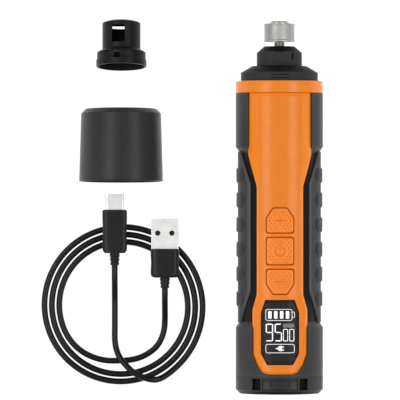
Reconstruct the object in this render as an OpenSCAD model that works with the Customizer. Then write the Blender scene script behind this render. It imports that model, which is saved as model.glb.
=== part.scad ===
// Handheld pet nail grinder, laid on its flat back, with its nail guard, dust cover and charging lead beside it.
// Tool pieces are drawn upright: base end at z = 0, axis on z, front face towards -Y. lay_tool() puts them on the back.

/* [Body] */
// Diameter of the body at its heel and collar
body_d = 38; // [37:0.5:46]
// Length from the base end to the top of the collar ring
body_len = 136; // [134:1:165]
// Wall of the two housing shells under the grips
wall = 1.8; // [1.5:0.1:2.2]
// Depth of the flat cut along the back
back_cut = 2; // [1.5:0.1:2.5]
// Height of the base cap
base_len = 7.5; // [7:0.1:9]
// Chamfer round the base end
base_chamfer = 1.8; // [1.4:0.1:1.9]
// Height of the full-width heel
heel_len = 28.8; // [27:0.1:30]
// Height of the collar ring
collar_len = 5.3; // [4:0.1:7]
// Length of the full-width shoulder under the collar
shoulder_len = 23.3; // [20:0.1:26]
// Length of the tapers from full width into the grip
taper_len = 3; // [2:0.1:4]

/* [Grips] */
// How far the grip zone lies inside the full width
grip_step = 0.9; // [0.6:0.1:1.2]
// Thickness of the soft grip pads
pad_t = 1.1; // [0.9:0.1:1.4]
// Height of the ribs above the pads
rib_h = 0.65; // [0.4:0.05:0.85]
// Length of one rib
rib_len = 5.4; // [4:0.1:7]
// Number of ribs
rib_count = 6; // [4:1:8]
// Half the gap between the pads, across the front and the back
pad_gap_hw = 12.6; // [12:0.1:13.2]

/* [Front panel] */
// Half width of the panel at the shoulder
panel_top_hw = 13.7; // [13:0.1:14.5]
// Half width of the panel between the grips
panel_mid_hw = 10.05; // [9.6:0.05:10.6]
// Half width of the panel round the display
panel_low_hw = 11.9; // [11:0.1:12.6]
// Thickness of the panel
panel_t = 1.55; // [1.2:0.05:1.8]
// How far the panel lies inside the full width
panel_drop = 0.7; // [0.5:0.1:0.9]

/* [Keys and display] */
// Width of the three keys
key_w = 11.9; // [10:0.1:13]
// Height of the power key
key_power_h = 11.9; // [10:0.1:12.5]
// Height of the plus and minus keys
key_speed_h = 10.9; // [10:0.1:11.5]
// Height of the power key's centre above the base end
key_mid_z = 62.1; // [60:0.1:64]
// Distance between key centres
key_pitch = 13.25; // [13:0.05:14]
// How far the keys stand proud of the panel
key_proud = 0.4; // [0.2:0.1:0.6]
// Travel of the keys
key_travel = 0.4; // [0.2:0.05:0.5]
// Half width of the display window
lens_hw = 8.2; // [7.6:0.1:9]
// Lower edge of the display window
lens_z0 = 12.9; // [12.5:0.1:14]
// Upper edge of the display window
lens_z1 = 40.9; // [39:0.1:41.5]
// Thickness of the display window
lens_t = 1.2; // [1:0.1:1.4]

/* [Nose] */
// How far the ring that the dust cover slides over lies inside the full width
cover_step = 2.2; // [2:0.1:2.8]
// Height of that ring
cover_seat_len = 3.6; // [3:0.1:5]
// Height of the slope above that ring
nose_slope = 2.9; // [2:0.1:4]
// Diameter of the collar that the nail guard slides over
guard_seat_d = 19.7; // [19:0.1:24]
// Height of that collar
guard_seat_len = 5.8; // [5:0.1:8]
// Height of the chamfer above that collar
nose_chamfer = 2.8; // [2:0.1:3.5]

/* [Grinding drum] */
// Diameter of the drum
drum_d = 13.4; // [12:0.1:13.8]
// Height of the drum
drum_len = 7.8; // [6:0.1:9.5]
// Gap between the nose and the drum
drum_gap = 2.1; // [1.5:0.1:3]
// Diameter of the bit's shank
shank_d = 2.35; // [2:0.05:2.4]
// Diameter of the chuck
chuck_d = 4.3; // [4:0.1:4.6]

/* [Motor and battery] */
// Diameter of the motor can
motor_d = 24.4; // [22:0.1:25]
// Length of the motor can
motor_len = 30.8; // [28:0.1:31]
// Diameter of the battery cell
cell_d = 18.3; // [17:0.1:18.6]
// Length of the battery cell
cell_len = 65; // [50:0.5:66]

/* [Covers] */
// Wall of the nail guard
guard_wall = 1; // [0.8:0.1:1.2]
// Height of the nail guard
guard_h = 20.6; // [20:0.1:24]
// Height of the dust cover
cover_h = 31.6; // [30:0.1:38]
// Wall of the dust cover
cover_wall = 1.3; // [1.1:0.1:1.8]

/* [Charging lead] */
// Diameter of the lead
lead_d = 2.7; // [2.5:0.1:2.8]

/* [Hidden] */
$fn = 96;

// Clearances: between fixed pieces, round a moving piece, in a running fit, and what a cut runs past a surface.
fit_gap = 0.05;
move_gap = 0.15;
run_gap = 0.05;
past = 1;

// Radii and heights that the pieces share.
full_r = body_d / 2;
grip_r = full_r - grip_step;
under_r = grip_r - pad_t - fit_gap;
inner_r = under_r - wall;
panel_r = full_r - panel_drop;
recess_r = panel_r - panel_t - fit_gap;
back_y = full_r - back_cut;
spine_hw = 8;
collar_z = body_len - collar_len;
shoulder_z = collar_z - shoulder_len;
grip_z0 = heel_len + taper_len;
grip_z1 = shoulder_z - taper_len;
shell_mid_z = (base_len + collar_z) / 2;
front_shift = full_r - 19;

// Outline of the front panel, as half widths at heights.
panel_fall_z = collar_z - 26.8;
panel_neck_z = collar_z - 40.5;
panel_flare_z = lens_z1 + 2.3;
panel_wide_z = panel_flare_z - 6.6;
panel_turn_z = lens_z0 + 4.9;
panel_end_hw = 6.2;
panel_end_z = base_len + 1.2;

// Nose heights.
cover_seat_d = body_d - 2 * cover_step;
nose_slope_z = body_len + cover_seat_len;
nose_collar_z = nose_slope_z + nose_slope;
nose_edge_z = nose_collar_z + guard_seat_len;
nose_top_z = nose_edge_z + nose_chamfer;
nose_slope_r = guard_seat_d / 2 + 2.1;
nose_spigot_len = 8;
nose_spigot_r = inner_r - fit_gap;
nose_wall_z = body_len + 1.5;
nose_bore_r = 7.9;
nose_flange_r = 10.2;
nose_flange_t = 2;

// Drum, chuck, bearing and motor heights.
drum_z = nose_top_z + drum_gap;
drum_top_z = drum_z + drum_len;
drum_cap_h = 1.1;
drum_cap_r = 4.05;
hub_r = drum_d / 2 - 1.25;
bearing_r = 6.45;
bearing_len = 5;
bearing_z = nose_wall_z + 0.5;
race_inner_r = 3.95;
race_outer_r = 5.25;
ball_count = 8;
motor_top_z = collar_z - 11.7;
motor_z = motor_top_z - motor_len;
motor_r = motor_d / 2;
motor_skin = 0.7;
motor_boss_r = 3;
motor_boss_h = 1.4;
motor_shaft_r = 1;
shaft_top_z = motor_top_z + 14;
chuck_z = motor_top_z + 8;
chuck_top_z = drum_z - 0.2;
sleeve_t = 1.3;
bracket_plate = 1.6;
bracket_r0 = motor_r + sleeve_t + 2 * fit_gap;

// Board, keys and battery depths, as distances in front of the axis. They follow the body's front.
board_t = 1.2;
board_hw = 11.3;
board_z0 = 12.5;
board_front = 9 + front_shift;
board_back = board_front - board_t;
switch_h = 3.2;
switch_front = board_front + switch_h;
stem_r = 1.7;
stem_out = 0.5;
key_back = switch_front + stem_out;
key_flange_t = 2;
key_flange_w = 0.8;
key_r = panel_r + key_proud;
key_names = ["plus", "power", "minus"];
key_plus_z = key_mid_z + key_pitch;
board_z1 = key_plus_z + 3.15;
key_minus_z = key_mid_z - key_pitch;
module_hw = 6.9;
module_z0 = lens_z0 + 3;
module_z1 = lens_z1 - 2.6;
module_front = board_front + 5;
cell_y = inner_r - cell_d / 2 - 1.5;
cell_r = cell_d / 2;
cell_z = 13.5;
tray_t = 1.1;
tray_r0 = cell_r + fit_gap;
tray_r1 = tray_r0 + tray_t;
post_x0 = cell_r + 0.25;
post_x1 = board_hw;
post_h = 5;
post_zs = [cell_z + 2, cell_z + cell_len - 8];

// Housing screws stand between the battery and the motor, and between the motor and the nose.
screw_x = 5.6;
screw_zs = [(max(board_z1, cell_z + cell_len) + motor_z) / 2 - 0.2, motor_top_z + 5];
screw_r = 1.25;
screw_head_r = 2.2;
screw_head_t = 1.4;
screw_head_y = back_y - 3.4;
boss_r = 2.4;

// Charging socket in the base cap.
socket_w = 8.94;
socket_h = 3.26;
socket_len = 7.3;
socket_z = 0.4;
socket_skin = 0.3;
charge_board_y = socket_h / 2;
charge_board_t = 1;

// Nail guard, standing on its mouth.
guard_gap = 0.15;
guard_skirt_r = guard_seat_d / 2 + guard_gap + guard_wall - 0.85;
guard_lip_r = guard_seat_d / 2 + 0.55;
guard_lip_h = 2.9;
guard_skirt_h = 6.2;
guard_slope_h = 1.4;
guard_top_r = drum_d / 2 + 0.5 + guard_wall;
guard_dome = 1.3;
guard_window_w = 5.6;
guard_window_z = 11.9;

// Dust cover, standing on its mouth.
cover_gap = 0.15;
cover_mouth_r = cover_seat_d / 2 + cover_gap + cover_wall;
cover_top_r = cover_mouth_r - 0.85;
cover_chamfer = 2;

// Places on the surface, in the row frame: right of the tool is +X, and its nose points to +Y.
guard_place = [-69, 83];
cover_place = [-69, 38];
coil_place = [-69, -31.5];

// The charging lead: a flat coil, two hand-laid ends, and a plug on each.
coil_r1 = 37.5;
coil_r0 = 25.6;
c_plug_place = [-72, -13.5, 5.6];
c_relief_len = 5.3;
c_body = [10.9, 19, 5.6];
c_shell = [8.3, 7, 2.56];
a_plug_place = [-50, -23.5, 6.6];
a_relief_len = 4.6;
a_body = [12.6, 12.6, 7.6];
a_shell = [12, 13.2, 4.5];
shell_skin = 0.35;
to_c_route = [
    [-72, -13.5, 5.6], [-72, -16.5, 5.6], [-72, -20, 4.9], [-72, -24.5, 3.4], [-72, -29, 2], [-72, -34, 1.4],
    [-72, -40, 1.4], [-72, -46, 1.5], [-71.3, -50.5, 2.2], [-69.5, -54.5, 3.4], [-66.5, -58, 4.2], [-63, -61, 4.3],
    [-57, -63.5, 4.3]
];
to_a_route = [
    [-50, -23.5, 6.6], [-50, -26.5, 6.6], [-50, -32, 4.4], [-50, -37, 2.3], [-50.4, -42, 1.4], [-51.9, -46.5, 1.4],
    [-54.2, -49.8, 1.4], [-57.4, -52.3, 1.4], [-61, -54.1, 1.4], [-65, -55.1, 1.4]
];

// ---------- Placing ----------

module lay_tool() {
    translate([0, -shell_mid_z, back_y]) rotate([-90, 0, 0]) children();
}

// Lays a piece that stands on its mouth on its side, with the mouth towards -Y. Its tilt rests both ends on the surface.
module lay_cap(place, low_r, high_r, high_z) {
    tilt = atan((low_r - high_r) / high_z);
    translate([place[0], place[1] - high_z / 2, low_r * cos(tilt) + fit_gap]) rotate([-90 - tilt, 0, 0]) children();
}

// ---------- Shared shapes ----------

function unit(v) = v / norm(v);

// The corners of an outline, each rounded to r with a curve of n steps.
function rounded(points, r, n = 4) = [
    for (i = [0:len(points) - 1])
        let (
            b = points[i],
            a = points[(i + len(points) - 1) % len(points)],
            c = points[(i + 1) % len(points)],
            u = unit(a - b),
            v = unit(c - b),
            d = min(r / tan(acos(u * v) / 2), norm(a - b) * 0.45, norm(c - b) * 0.45)
        )
        for (k = [0:n])
            let (t = k / n)
            (1 - t) * (1 - t) * (b + u * d) + 2 * t * (1 - t) * b + t * t * (b + v * d)
];

// A closed outline from half widths at heights, listed from the top down.
function mirrored(side) = concat(side, [for (i = [len(side) - 1:-1:0]) [-side[i][0], side[i][1]]]);

function panel_side(g) = [
    [panel_top_hw + g, collar_z + g], [panel_top_hw + g, panel_fall_z], [panel_mid_hw + g, panel_neck_z],
    [panel_mid_hw + g, panel_flare_z], [panel_low_hw + g, panel_wide_z], [panel_low_hw + g, panel_turn_z],
    [(panel_low_hw + panel_end_hw) / 2 + 1.2 + g, panel_end_z + 3.4 - g], [panel_end_hw + g, panel_end_z - g]
];

function lens_side(g) = [
    [lens_hw - 1.9 + g, lens_z1 + g], [lens_hw + g, lens_z1 - 5.5], [lens_hw + g, lens_z0 + 4.9],
    [lens_hw - 2.65 + g, lens_z0 - g]
];

// The plus key is a square with sloping shoulders, and the minus key is the same turned over.
function speed_key_side(g) = [
    [key_w / 2 - 2.9 + g / 2, key_speed_h / 2 + g], [key_w / 2 + g, 0.95], [key_w / 2 + g, -key_speed_h / 2 - g]
];

function power_key_side(g) = [[key_w / 2 + g, key_power_h / 2 + g], [key_w / 2 + g, -key_power_h / 2 - g]];

// An outline in x and z pushed out towards the front, between two depths in front of the axis.
module front_prism(outline, near, far) {
    translate([0, -near, 0]) rotate([90, 0, 0]) linear_extrude(far - near) polygon(outline);
}

module ring(r0, r1, z0, z1) {
    translate([0, 0, z0]) difference() {
        cylinder(r = r1, h = z1 - z0);
        translate([0, 0, -past]) cylinder(r = r0, h = z1 - z0 + 2 * past);
    }
}

module rod(r, z0, z1) {
    translate([0, 0, z0]) cylinder(r = r, h = z1 - z0);
}

// Turns a profile given as radius and height about the axis.
module turned(profile) {
    rotate_extrude() polygon(profile);
}

module block(low, high) {
    translate(low) cube(high - low);
}

// Cuts away what lies behind the flat back.
module flat_back() {
    difference() {
        children();
        block([-body_d, back_y, -past], [body_d, body_d, drum_top_z]);
    }
}

// A round tube along a route, square to it at each point. up is a direction that the route never takes.
module tube(route, r, up = [0, 0, 1], sides = 8) {
    n = len(route);
    along = [for (i = [0:n - 1]) unit(route[min(i + 1, n - 1)] - route[max(i - 1, 0)])];
    rings = [
        for (i = [0:n - 1])
            let (side = unit(cross(along[i], up)), over = cross(side, along[i]))
            for (k = [0:sides - 1])
                route[i] + r * (cos(360 * k / sides) * side + sin(360 * k / sides) * over)
    ];
    walls = [
        for (i = [0:n - 2], k = [0:sides - 1])
            let (a = i * sides + k, b = i * sides + (k + 1) % sides)
            [a, b, b + sides, a + sides]
    ];
    start = [for (k = [sides - 1:-1:0]) k];
    end = [for (k = [0:sides - 1]) (n - 1) * sides + k];
    polyhedron(points = rings, faces = concat(walls, [start, end]), convexity = 4);
}

// A flat plug's housing: a box with rounded sides, along +Y from y = 0.
module plug_box(size, r) {
    hw = size[0] / 2;
    hh = size[2] / 2;
    corners = [[-hw, -hh], [hw, -hh], [hw, hh], [-hw, hh]];
    translate([0, size[1], 0]) rotate([90, 0, 0]) linear_extrude(size[1]) polygon(rounded(corners, r, 5));
}

// ---------- Housing ----------

module shell_profile() {
    turned([
        [inner_r, base_len], [full_r, base_len], [full_r, heel_len], [under_r, grip_z0], [under_r, grip_z1],
        [full_r, shoulder_z], [full_r, collar_z], [inner_r, collar_z]
    ]);
}

// A straight post for each housing screw, from the seam to the wall on one side.
module screw_bosses(side, bore_r) {
    for (x = [-screw_x, screw_x], z = screw_zs) {
        translate([x, 0, z]) rotate([-90 * side, 0, 0]) difference() {
            cylinder(r = boss_r, h = inner_r - 0.6);
            translate([0, 0, -past]) cylinder(r = bore_r, h = inner_r);
        }
    }
}

module rear_shell() {
    color("#333333") lay_tool() difference() {
        union() {
            intersection() {
                flat_back() shell_profile();
                block([-body_d, 0, 0], [body_d, body_d, body_len]);
            }
            flat_back() intersection() {
                ring(under_r - 0.4, full_r, heel_len - 0.5, shoulder_z + 0.5);
                block([-spine_hw, 0, heel_len - 0.5], [spine_hw, body_d, shoulder_z + 0.5]);
            }
            screw_bosses(1, screw_r + 0.15);
        }
        for (x = [-screw_x, screw_x], z = screw_zs) {
            translate([x, screw_head_y - screw_head_t - fit_gap, z])
                rotate([-90, 0, 0]) cylinder(r = screw_head_r + 0.15, h = body_d);
            translate([x, 0, z]) rotate([-90, 0, 0]) cylinder(r = screw_r + 0.15, h = body_d);
        }
    }
}

module front_shell() {
    color("#333333") lay_tool() difference() {
        union() {
            intersection() {
                shell_profile();
                block([-body_d, -body_d, 0], [body_d, 0, body_len]);
            }
            screw_bosses(-1, screw_r + fit_gap);
        }
        difference() {
            front_prism(mirrored(panel_side(fit_gap)), 1, body_d);
            rod(recess_r, 0, body_len);
        }
        front_prism(mirrored(lens_side(move_gap)), board_front, body_d);
        key_prism("plus", move_gap + key_flange_w, board_front, body_d);
        key_prism("power", move_gap + key_flange_w, board_front, body_d);
        key_prism("minus", move_gap + key_flange_w, board_front, body_d);
    }
}

module front_panel() {
    color("#f08a34") lay_tool() difference() {
        intersection() {
            ring(panel_r - panel_t, panel_r, 0, collar_z);
            front_prism(mirrored(panel_side(0)), 1, body_d);
        }
        front_prism(mirrored(lens_side(fit_gap)), 1, body_d);
        key_prism("plus", move_gap, 1, body_d);
        key_prism("power", move_gap, 1, body_d);
        key_prism("minus", move_gap, 1, body_d);
    }
}

module collar_ring() {
    color("#f08a34") lay_tool() flat_back() ring(nose_spigot_r + fit_gap, full_r, collar_z, body_len);
}

// One ribbed pad, wrapped round the side that x_sign names.
module grip_pad(x_sign) {
    first = grip_z0 + 9.4;
    pitch = (grip_z1 - grip_z0 - 18.8) / (rib_count - 1);
    ramp = 0.8;
    ribs = [
        for (i = [0:rib_count - 1])
            let (z = first + i * pitch)
            each [
                [grip_r, z - rib_len / 2 - ramp], [grip_r + rib_h, z - rib_len / 2],
                [grip_r + rib_h, z + rib_len / 2], [grip_r, z + rib_len / 2 + ramp]
            ]
    ];
    r0 = under_r + fit_gap;
    low = grip_z0 + 1;
    high = grip_z1 - 1;
    side = [
        [body_d, low], [body_d, high], [pad_gap_hw + 3.8, high], [pad_gap_hw + 2.2, high - 5],
        [pad_gap_hw, high - 12], [pad_gap_hw, low + 12], [pad_gap_hw + 2.2, low + 5], [pad_gap_hw + 3.8, low]
    ];
    intersection() {
        turned(concat([[r0, high], [r0, low], [grip_r, low]], ribs, [[grip_r, high]]));
        front_prism([for (p = side) [p[0] * x_sign, p[1]]], -body_d, body_d);
    }
}

module grip_left() {
    color("#3c3c3c") lay_tool() grip_pad(-1);
}

module grip_right() {
    color("#3c3c3c") lay_tool() grip_pad(1);
}

module base_cap() {
    spigot_len = 3;
    floor_t = 2.5;
    notch_w = 4.4;
    notch_deep = 1.3;
    color("#303030") lay_tool() difference() {
        turned([
            [0, 0], [full_r - base_chamfer, 0], [full_r, base_chamfer], [full_r, base_len],
            [inner_r - fit_gap, base_len], [inner_r - fit_gap, base_len + spigot_len],
            [inner_r - wall, base_len + spigot_len], [inner_r - wall, floor_t], [0, floor_t]
        ]);
        for (turn = [-33, 33, 147, 213]) {
            rotate([0, 0, turn])
                block([-notch_w / 2, -body_d, base_chamfer], [notch_w / 2, notch_deep - full_r, base_len - 0.6]);
        }
        block([-socket_w / 2 - fit_gap, -socket_h / 2 - fit_gap, -past],
              [socket_w / 2 + fit_gap, socket_h / 2 + fit_gap, floor_t + past]);
        block([-body_d, back_y, -past], [body_d, body_d, base_len + past]);
    }
}

// ---------- Nose ----------

module nose_base() {
    groove = 0.35;
    color("#262626") lay_tool() difference() {
        turned([
            [nose_spigot_r - 1.6, body_len - nose_spigot_len], [nose_spigot_r, body_len - nose_spigot_len],
            [nose_spigot_r, body_len], [cover_seat_d / 2, body_len], [cover_seat_d / 2, nose_slope_z],
            [nose_slope_r, nose_collar_z], [nose_bore_r + fit_gap, nose_collar_z],
            [nose_bore_r + fit_gap, nose_wall_z], [nose_spigot_r - 1.6, nose_wall_z]
        ]);
        for (z = [body_len + 1, body_len + 2.5]) {
            block([-3.7, -body_d, z], [3.7, 0.3 - cover_seat_d / 2, z + groove]);
        }
    }
}

module nose_collar() {
    slot_w = 0.7;
    slot_h = 3.4;
    slot_deep = 0.8;
    seal_r = 4.4;
    color("#262626") lay_tool() difference() {
        turned([
            [bearing_r + fit_gap, nose_wall_z - nose_flange_t], [nose_flange_r, nose_wall_z - nose_flange_t],
            [nose_flange_r, nose_wall_z - fit_gap], [nose_bore_r, nose_wall_z - fit_gap],
            [nose_bore_r, nose_collar_z + fit_gap], [guard_seat_d / 2, nose_collar_z + fit_gap],
            [guard_seat_d / 2, nose_edge_z], [guard_seat_d / 2 - 3.2, nose_top_z], [seal_r, nose_top_z],
            [seal_r, nose_top_z - 1.5], [chuck_d / 2 + 0.6, nose_top_z - 1.5],
            [chuck_d / 2 + 0.6, bearing_z + bearing_len], [bearing_r + fit_gap, bearing_z + bearing_len]
        ]);
        for (turn = [35, 215]) {
            rotate([0, 0, turn])
                block([-slot_w / 2, -body_d, nose_edge_z - slot_h],
                      [slot_w / 2, slot_deep - guard_seat_d / 2, nose_edge_z]);
        }
    }
}

module nose_seal() {
    color("#1c1c1c") lay_tool() ring(chuck_d / 2 + 0.25, 4.4 - fit_gap, nose_top_z - 1.5, nose_top_z - 0.3);
}

module bearing_outer() {
    color("#b5b5b2") lay_tool() ring(race_outer_r, bearing_r, bearing_z, bearing_z + bearing_len);
}

module bearing_inner() {
    color("#b5b5b2") lay_tool() ring(chuck_d / 2 + run_gap, race_inner_r, bearing_z, bearing_z + bearing_len);
}

module bearing_balls() {
    ball_r = (race_outer_r - race_inner_r) / 2 - 0.05;
    color("#d0d0d0") lay_tool() for (i = [0:ball_count - 1]) {
        rotate([0, 0, i * 360 / ball_count])
            translate([(race_outer_r + race_inner_r) / 2, 0, bearing_z + bearing_len / 2]) sphere(r = ball_r, $fn = 24);
    }
}

// ---------- Spindle ----------

module motor_shaft() {
    color("#c8c8c8") lay_tool() rod(motor_shaft_r, motor_z + 0.6, shaft_top_z);
}

module chuck_sleeve() {
    color("#8b8a88") lay_tool() difference() {
        rod(chuck_d / 2, chuck_z, chuck_top_z);
        rod(motor_shaft_r + run_gap, chuck_z - past, shaft_top_z + 1);
        rod(shank_d / 2 + run_gap, shaft_top_z + 2, chuck_top_z + past);
    }
}

module drum_shank() {
    color("#c8c8c8") lay_tool() rod(shank_d / 2, shaft_top_z + 2.5, drum_top_z - 0.6);
}

module drum_hub() {
    color("#9a9996") lay_tool() difference() {
        rod(hub_r, drum_z, drum_top_z);
        rod(shank_d / 2 + run_gap, drum_z - past, drum_top_z - 0.5);
    }
}

// The abrasive sleeve draws in very slightly between its rims.
module drum_sleeve() {
    rim = 0.7;
    waist = 0.15;
    color("#a9a8a5") lay_tool() turned([
        [hub_r + run_gap, drum_z], [drum_d / 2, drum_z], [drum_d / 2 - waist, drum_z + rim],
        [drum_d / 2 - waist, drum_top_z - rim], [drum_d / 2, drum_top_z], [hub_r + run_gap, drum_top_z]
    ]);
}

module drum_cap() {
    color("#8f8e8b") lay_tool() turned([
        [0, drum_top_z], [drum_cap_r, drum_top_z], [drum_cap_r - 0.4, drum_top_z + drum_cap_h],
        [0, drum_top_z + drum_cap_h]
    ]);
}

// ---------- Motor ----------

module motor_can() {
    color("#b0b0ae") lay_tool() turned([
        [motor_r - motor_skin, motor_z + 2.2], [motor_r, motor_z + 2.2], [motor_r, motor_top_z],
        [motor_boss_r, motor_top_z], [motor_boss_r, motor_top_z + motor_boss_h],
        [2.4, motor_top_z + motor_boss_h], [2.4, motor_top_z - motor_skin],
        [motor_r - motor_skin, motor_top_z - motor_skin]
    ]);
}

module motor_end_cap() {
    color("#2b4a3a") lay_tool() turned([
        [2.4, motor_z], [motor_r - 0.2, motor_z], [motor_r - 0.2, motor_z + 2.15],
        [motor_r - motor_skin - fit_gap, motor_z + 2.15], [motor_r - motor_skin - fit_gap, motor_z + 4],
        [motor_r - 2.6, motor_z + 4], [motor_r - 2.6, motor_z + 1.6], [2.4, motor_z + 1.6]
    ]);
}

module motor_magnets() {
    magnet_t = 1.9;
    r1 = motor_r - motor_skin - fit_gap;
    color("#4a4a4a") lay_tool() for (side = [-1, 1]) {
        intersection() {
            ring(r1 - magnet_t, r1, motor_z + 6, motor_top_z - 3);
            block([side > 0 ? 4 : -motor_r, -motor_r, motor_z], [side > 0 ? motor_r : -4, motor_r, motor_top_z]);
        }
    }
}

// The wound rotor with its commutator, both pressed on the shaft.
module motor_armature() {
    rotor_r = motor_r - motor_skin - 2.6;
    color("#a5623a") lay_tool() {
        difference() {
            ring(motor_shaft_r + run_gap, rotor_r, motor_z + 8, motor_top_z - 5);
            for (i = [0:2]) {
                rotate([0, 0, 120 * i])
                    block([-0.8, rotor_r - 4, motor_z], [0.8, rotor_r + past, motor_top_z]);
            }
        }
        ring(motor_shaft_r + run_gap, 2.7, motor_z + 3, motor_z + 6.5);
    }
}

module motor_bushes() {
    color("#b08d4a") lay_tool() {
        ring(motor_shaft_r + run_gap, 2.35, motor_top_z - 0.6, motor_top_z + motor_boss_h - 0.1);
        ring(motor_shaft_r + run_gap, 2.35, motor_z + 0.1, motor_z + 1.6);
    }
}

module motor_terminals() {
    color("#c9a04e") lay_tool() for (side = [-1, 1]) {
        block([side * 7.5 - 1.2, -0.25, motor_z - 2.4], [side * 7.5 + 1.2, 0.25, motor_z]);
    }
}

module motor_sleeve() {
    color("#1f1f1f") lay_tool()
        ring(motor_r + fit_gap, motor_r + sleeve_t, motor_z + 3, motor_top_z - 2);
}

module motor_bracket() {
    color("#e8e4da") lay_tool() difference() {
        rod(inner_r - fit_gap, motor_z + 1, motor_top_z + fit_gap + bracket_plate);
        rod(bracket_r0, motor_z, motor_top_z + fit_gap);
        rod(motor_boss_r + fit_gap, motor_z, motor_top_z + 10);
        for (x = [-8, 8]) {
            translate([x, 0, motor_top_z]) cylinder(r = 1.1, h = 10);
        }
    }
}

module motor_screws() {
    plate_z = motor_top_z + fit_gap + bracket_plate;
    color("#b8b8b8") lay_tool() for (x = [-8, 8]) {
        translate([x, 0, 0]) {
            rod(1.05, motor_top_z + fit_gap, plate_z);
            rod(1.9, plate_z, plate_z + 1.1);
        }
    }
}

module motor_leads() {
    color("#a22c22") lay_tool() for (side = [-1, 1]) {
        tube([
            [side * 8, 0.3 + 0.55, motor_z - 1], [side * 9.2, 0.9, motor_z - 3], [side * 9.8, -1, motor_z - 6],
            [side * 9.8, -4, motor_z - 9], [side * 9.6, 0.9 - board_back, board_z1 + 1.5],
            [side * 9.4, 0.6 - board_back, board_z1 - 2]
        ], 0.55, [0, 1, 0.01], 6);
    }
}

// ---------- Battery and boards ----------

module battery_cell() {
    color("#3d6fa8") lay_tool() translate([0, cell_y, 0]) {
        rod(cell_r, cell_z, cell_z + cell_len - 1.2);
        rod(2.8, cell_z + cell_len - 1.2, cell_z + cell_len);
    }
}

module battery_tabs() {
    color("#c8c8c0") lay_tool() translate([0, cell_y, 0]) {
        block([-2.5, -cell_r, cell_z + cell_len], [2.5, 2.5, cell_z + cell_len + 0.2]);
        block([-2.5, -cell_r, cell_z - 0.2], [2.5, 2.5, cell_z]);
    }
}

module battery_tray() {
    color("#e8e4da") lay_tool() intersection() {
        union() {
            translate([0, cell_y, 0]) intersection() {
                ring(tray_r0, tray_r1, cell_z + 2, cell_z + cell_len - 3);
                block([-body_d, 0, 0], [body_d, body_d, body_len]);
            }
            for (side = [-1, 1], z = post_zs) {
                x0 = side > 0 ? post_x0 : -post_x1;
                x1 = side > 0 ? post_x1 : -post_x0;
                difference() {
                    block([x0, -board_back, z], [x1, cell_y + 1, z + post_h]);
                    translate([side * (post_x0 + post_x1) / 2, 1, z + post_h / 2]) rotate([90, 0, 0])
                        cylinder(r = 0.6, h = body_d, $fn = 24);
                }
            }
        }
        rod(inner_r - fit_gap, 0, body_len);
    }
}

module battery_leads() {
    color("#a22c22") lay_tool() {
        tube([
            [1.2, cell_y - cell_r - 0.9, cell_z + cell_len + 0.1], [1.2, cell_y - cell_r - 1.6, cell_z + cell_len - 2],
            [1.2, 1.2 - board_back, cell_z + cell_len - 5], [1.2, 0.6 - board_back, cell_z + cell_len - 8]
        ], 0.55, [1, 0, 0], 6);
        tube([
            [-1.2, cell_y - cell_r - 0.9, cell_z - 0.1], [-1.2, cell_y - cell_r - 1.6, cell_z + 2],
            [-1.2, 1.2 - board_back, cell_z + 5], [-1.2, 0.6 - board_back, cell_z + 8]
        ], 0.55, [1, 0, 0], 6);
    }
}

module main_board() {
    color("#1f6b45") lay_tool() difference() {
        block([-board_hw, -board_front, board_z0], [board_hw, -board_back, board_z1]);
        for (side = [-1, 1], z = post_zs) {
            translate([side * (post_x0 + post_x1) / 2, 0, z + post_h / 2]) rotate([90, 0, 0])
                cylinder(r = 0.6, h = body_d, $fn = 24);
        }
    }
}

module board_screws() {
    color("#b8b8b8") lay_tool() for (side = [-1, 1], z = post_zs) {
        translate([side * (post_x0 + post_x1) / 2, 0, z + post_h / 2]) rotate([90, 0, 0]) {
            translate([0, 0, board_back - 3]) cylinder(r = 0.55, h = 3 + board_t, $fn = 24);
            translate([0, 0, board_front]) cylinder(r = 1.05, h = 0.55, $fn = 24);
        }
    }
}

module charge_board() {
    color("#1f6b45") lay_tool()
        block([-6, charge_board_y + fit_gap, 2.7], [6, charge_board_y + fit_gap + charge_board_t, 11.2]);
}

module charge_leads() {
    color("#a22c22") lay_tool() for (x = [-3.5, 3.5]) {
        tube([
            [x, charge_board_y - 0.6, 9.5], [x, charge_board_y - 1.6, 11], [x, -3, 12], [x, -5.6, 12.6],
            [x, 1 - board_back, 15], [x, 0.6 - board_back, 18]
        ], 0.5, [1, 0, 0], 6);
    }
}

module usb_socket() {
    color("#c4c4c4") lay_tool() difference() {
        block([-socket_w / 2, -socket_h / 2, socket_z], [socket_w / 2, socket_h / 2, socket_z + socket_len]);
        block([socket_skin - socket_w / 2, socket_skin - socket_h / 2, socket_z - past],
              [socket_w / 2 - socket_skin, socket_h / 2 - socket_skin, socket_z + socket_len - 0.8]);
    }
}

module usb_socket_tongue() {
    color("#202020") lay_tool() block([-3.3, -0.35, socket_z + 0.8], [3.3, 0.35, socket_z + socket_len - 0.8]);
}

module switch_housings() {
    color("#2a2a2a") lay_tool() for (z = [key_minus_z, key_mid_z, key_plus_z]) {
        difference() {
            block([-3, -switch_front, z - 3], [3, -board_front, z + 3]);
            translate([0, 0, z]) rotate([90, 0, 0])
                cylinder(r = stem_r + run_gap, h = body_d, $fn = 48);
        }
    }
}

module display_module() {
    color("#1a1a1a") lay_tool()
        block([-module_hw, -module_front, module_z0], [module_hw, -board_front, module_z1]);
}

// ---------- Keys and display window ----------

// A key's outline, grown by g, pushed out between two depths.
module key_prism(name, g, near, far) {
    if (name == "plus") {
        translate([0, 0, key_plus_z]) front_prism(rounded(mirrored(speed_key_side(g)), 1.2), near, far);
    }
    if (name == "power") {
        translate([0, 0, key_mid_z]) front_prism(rounded(mirrored(power_key_side(g)), 1.3), near, far);
    }
    if (name == "minus") {
        translate([0, 0, key_minus_z]) mirror([0, 0, 1])
            front_prism(rounded(mirrored(speed_key_side(g)), 1.2), near, far);
    }
}

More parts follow.
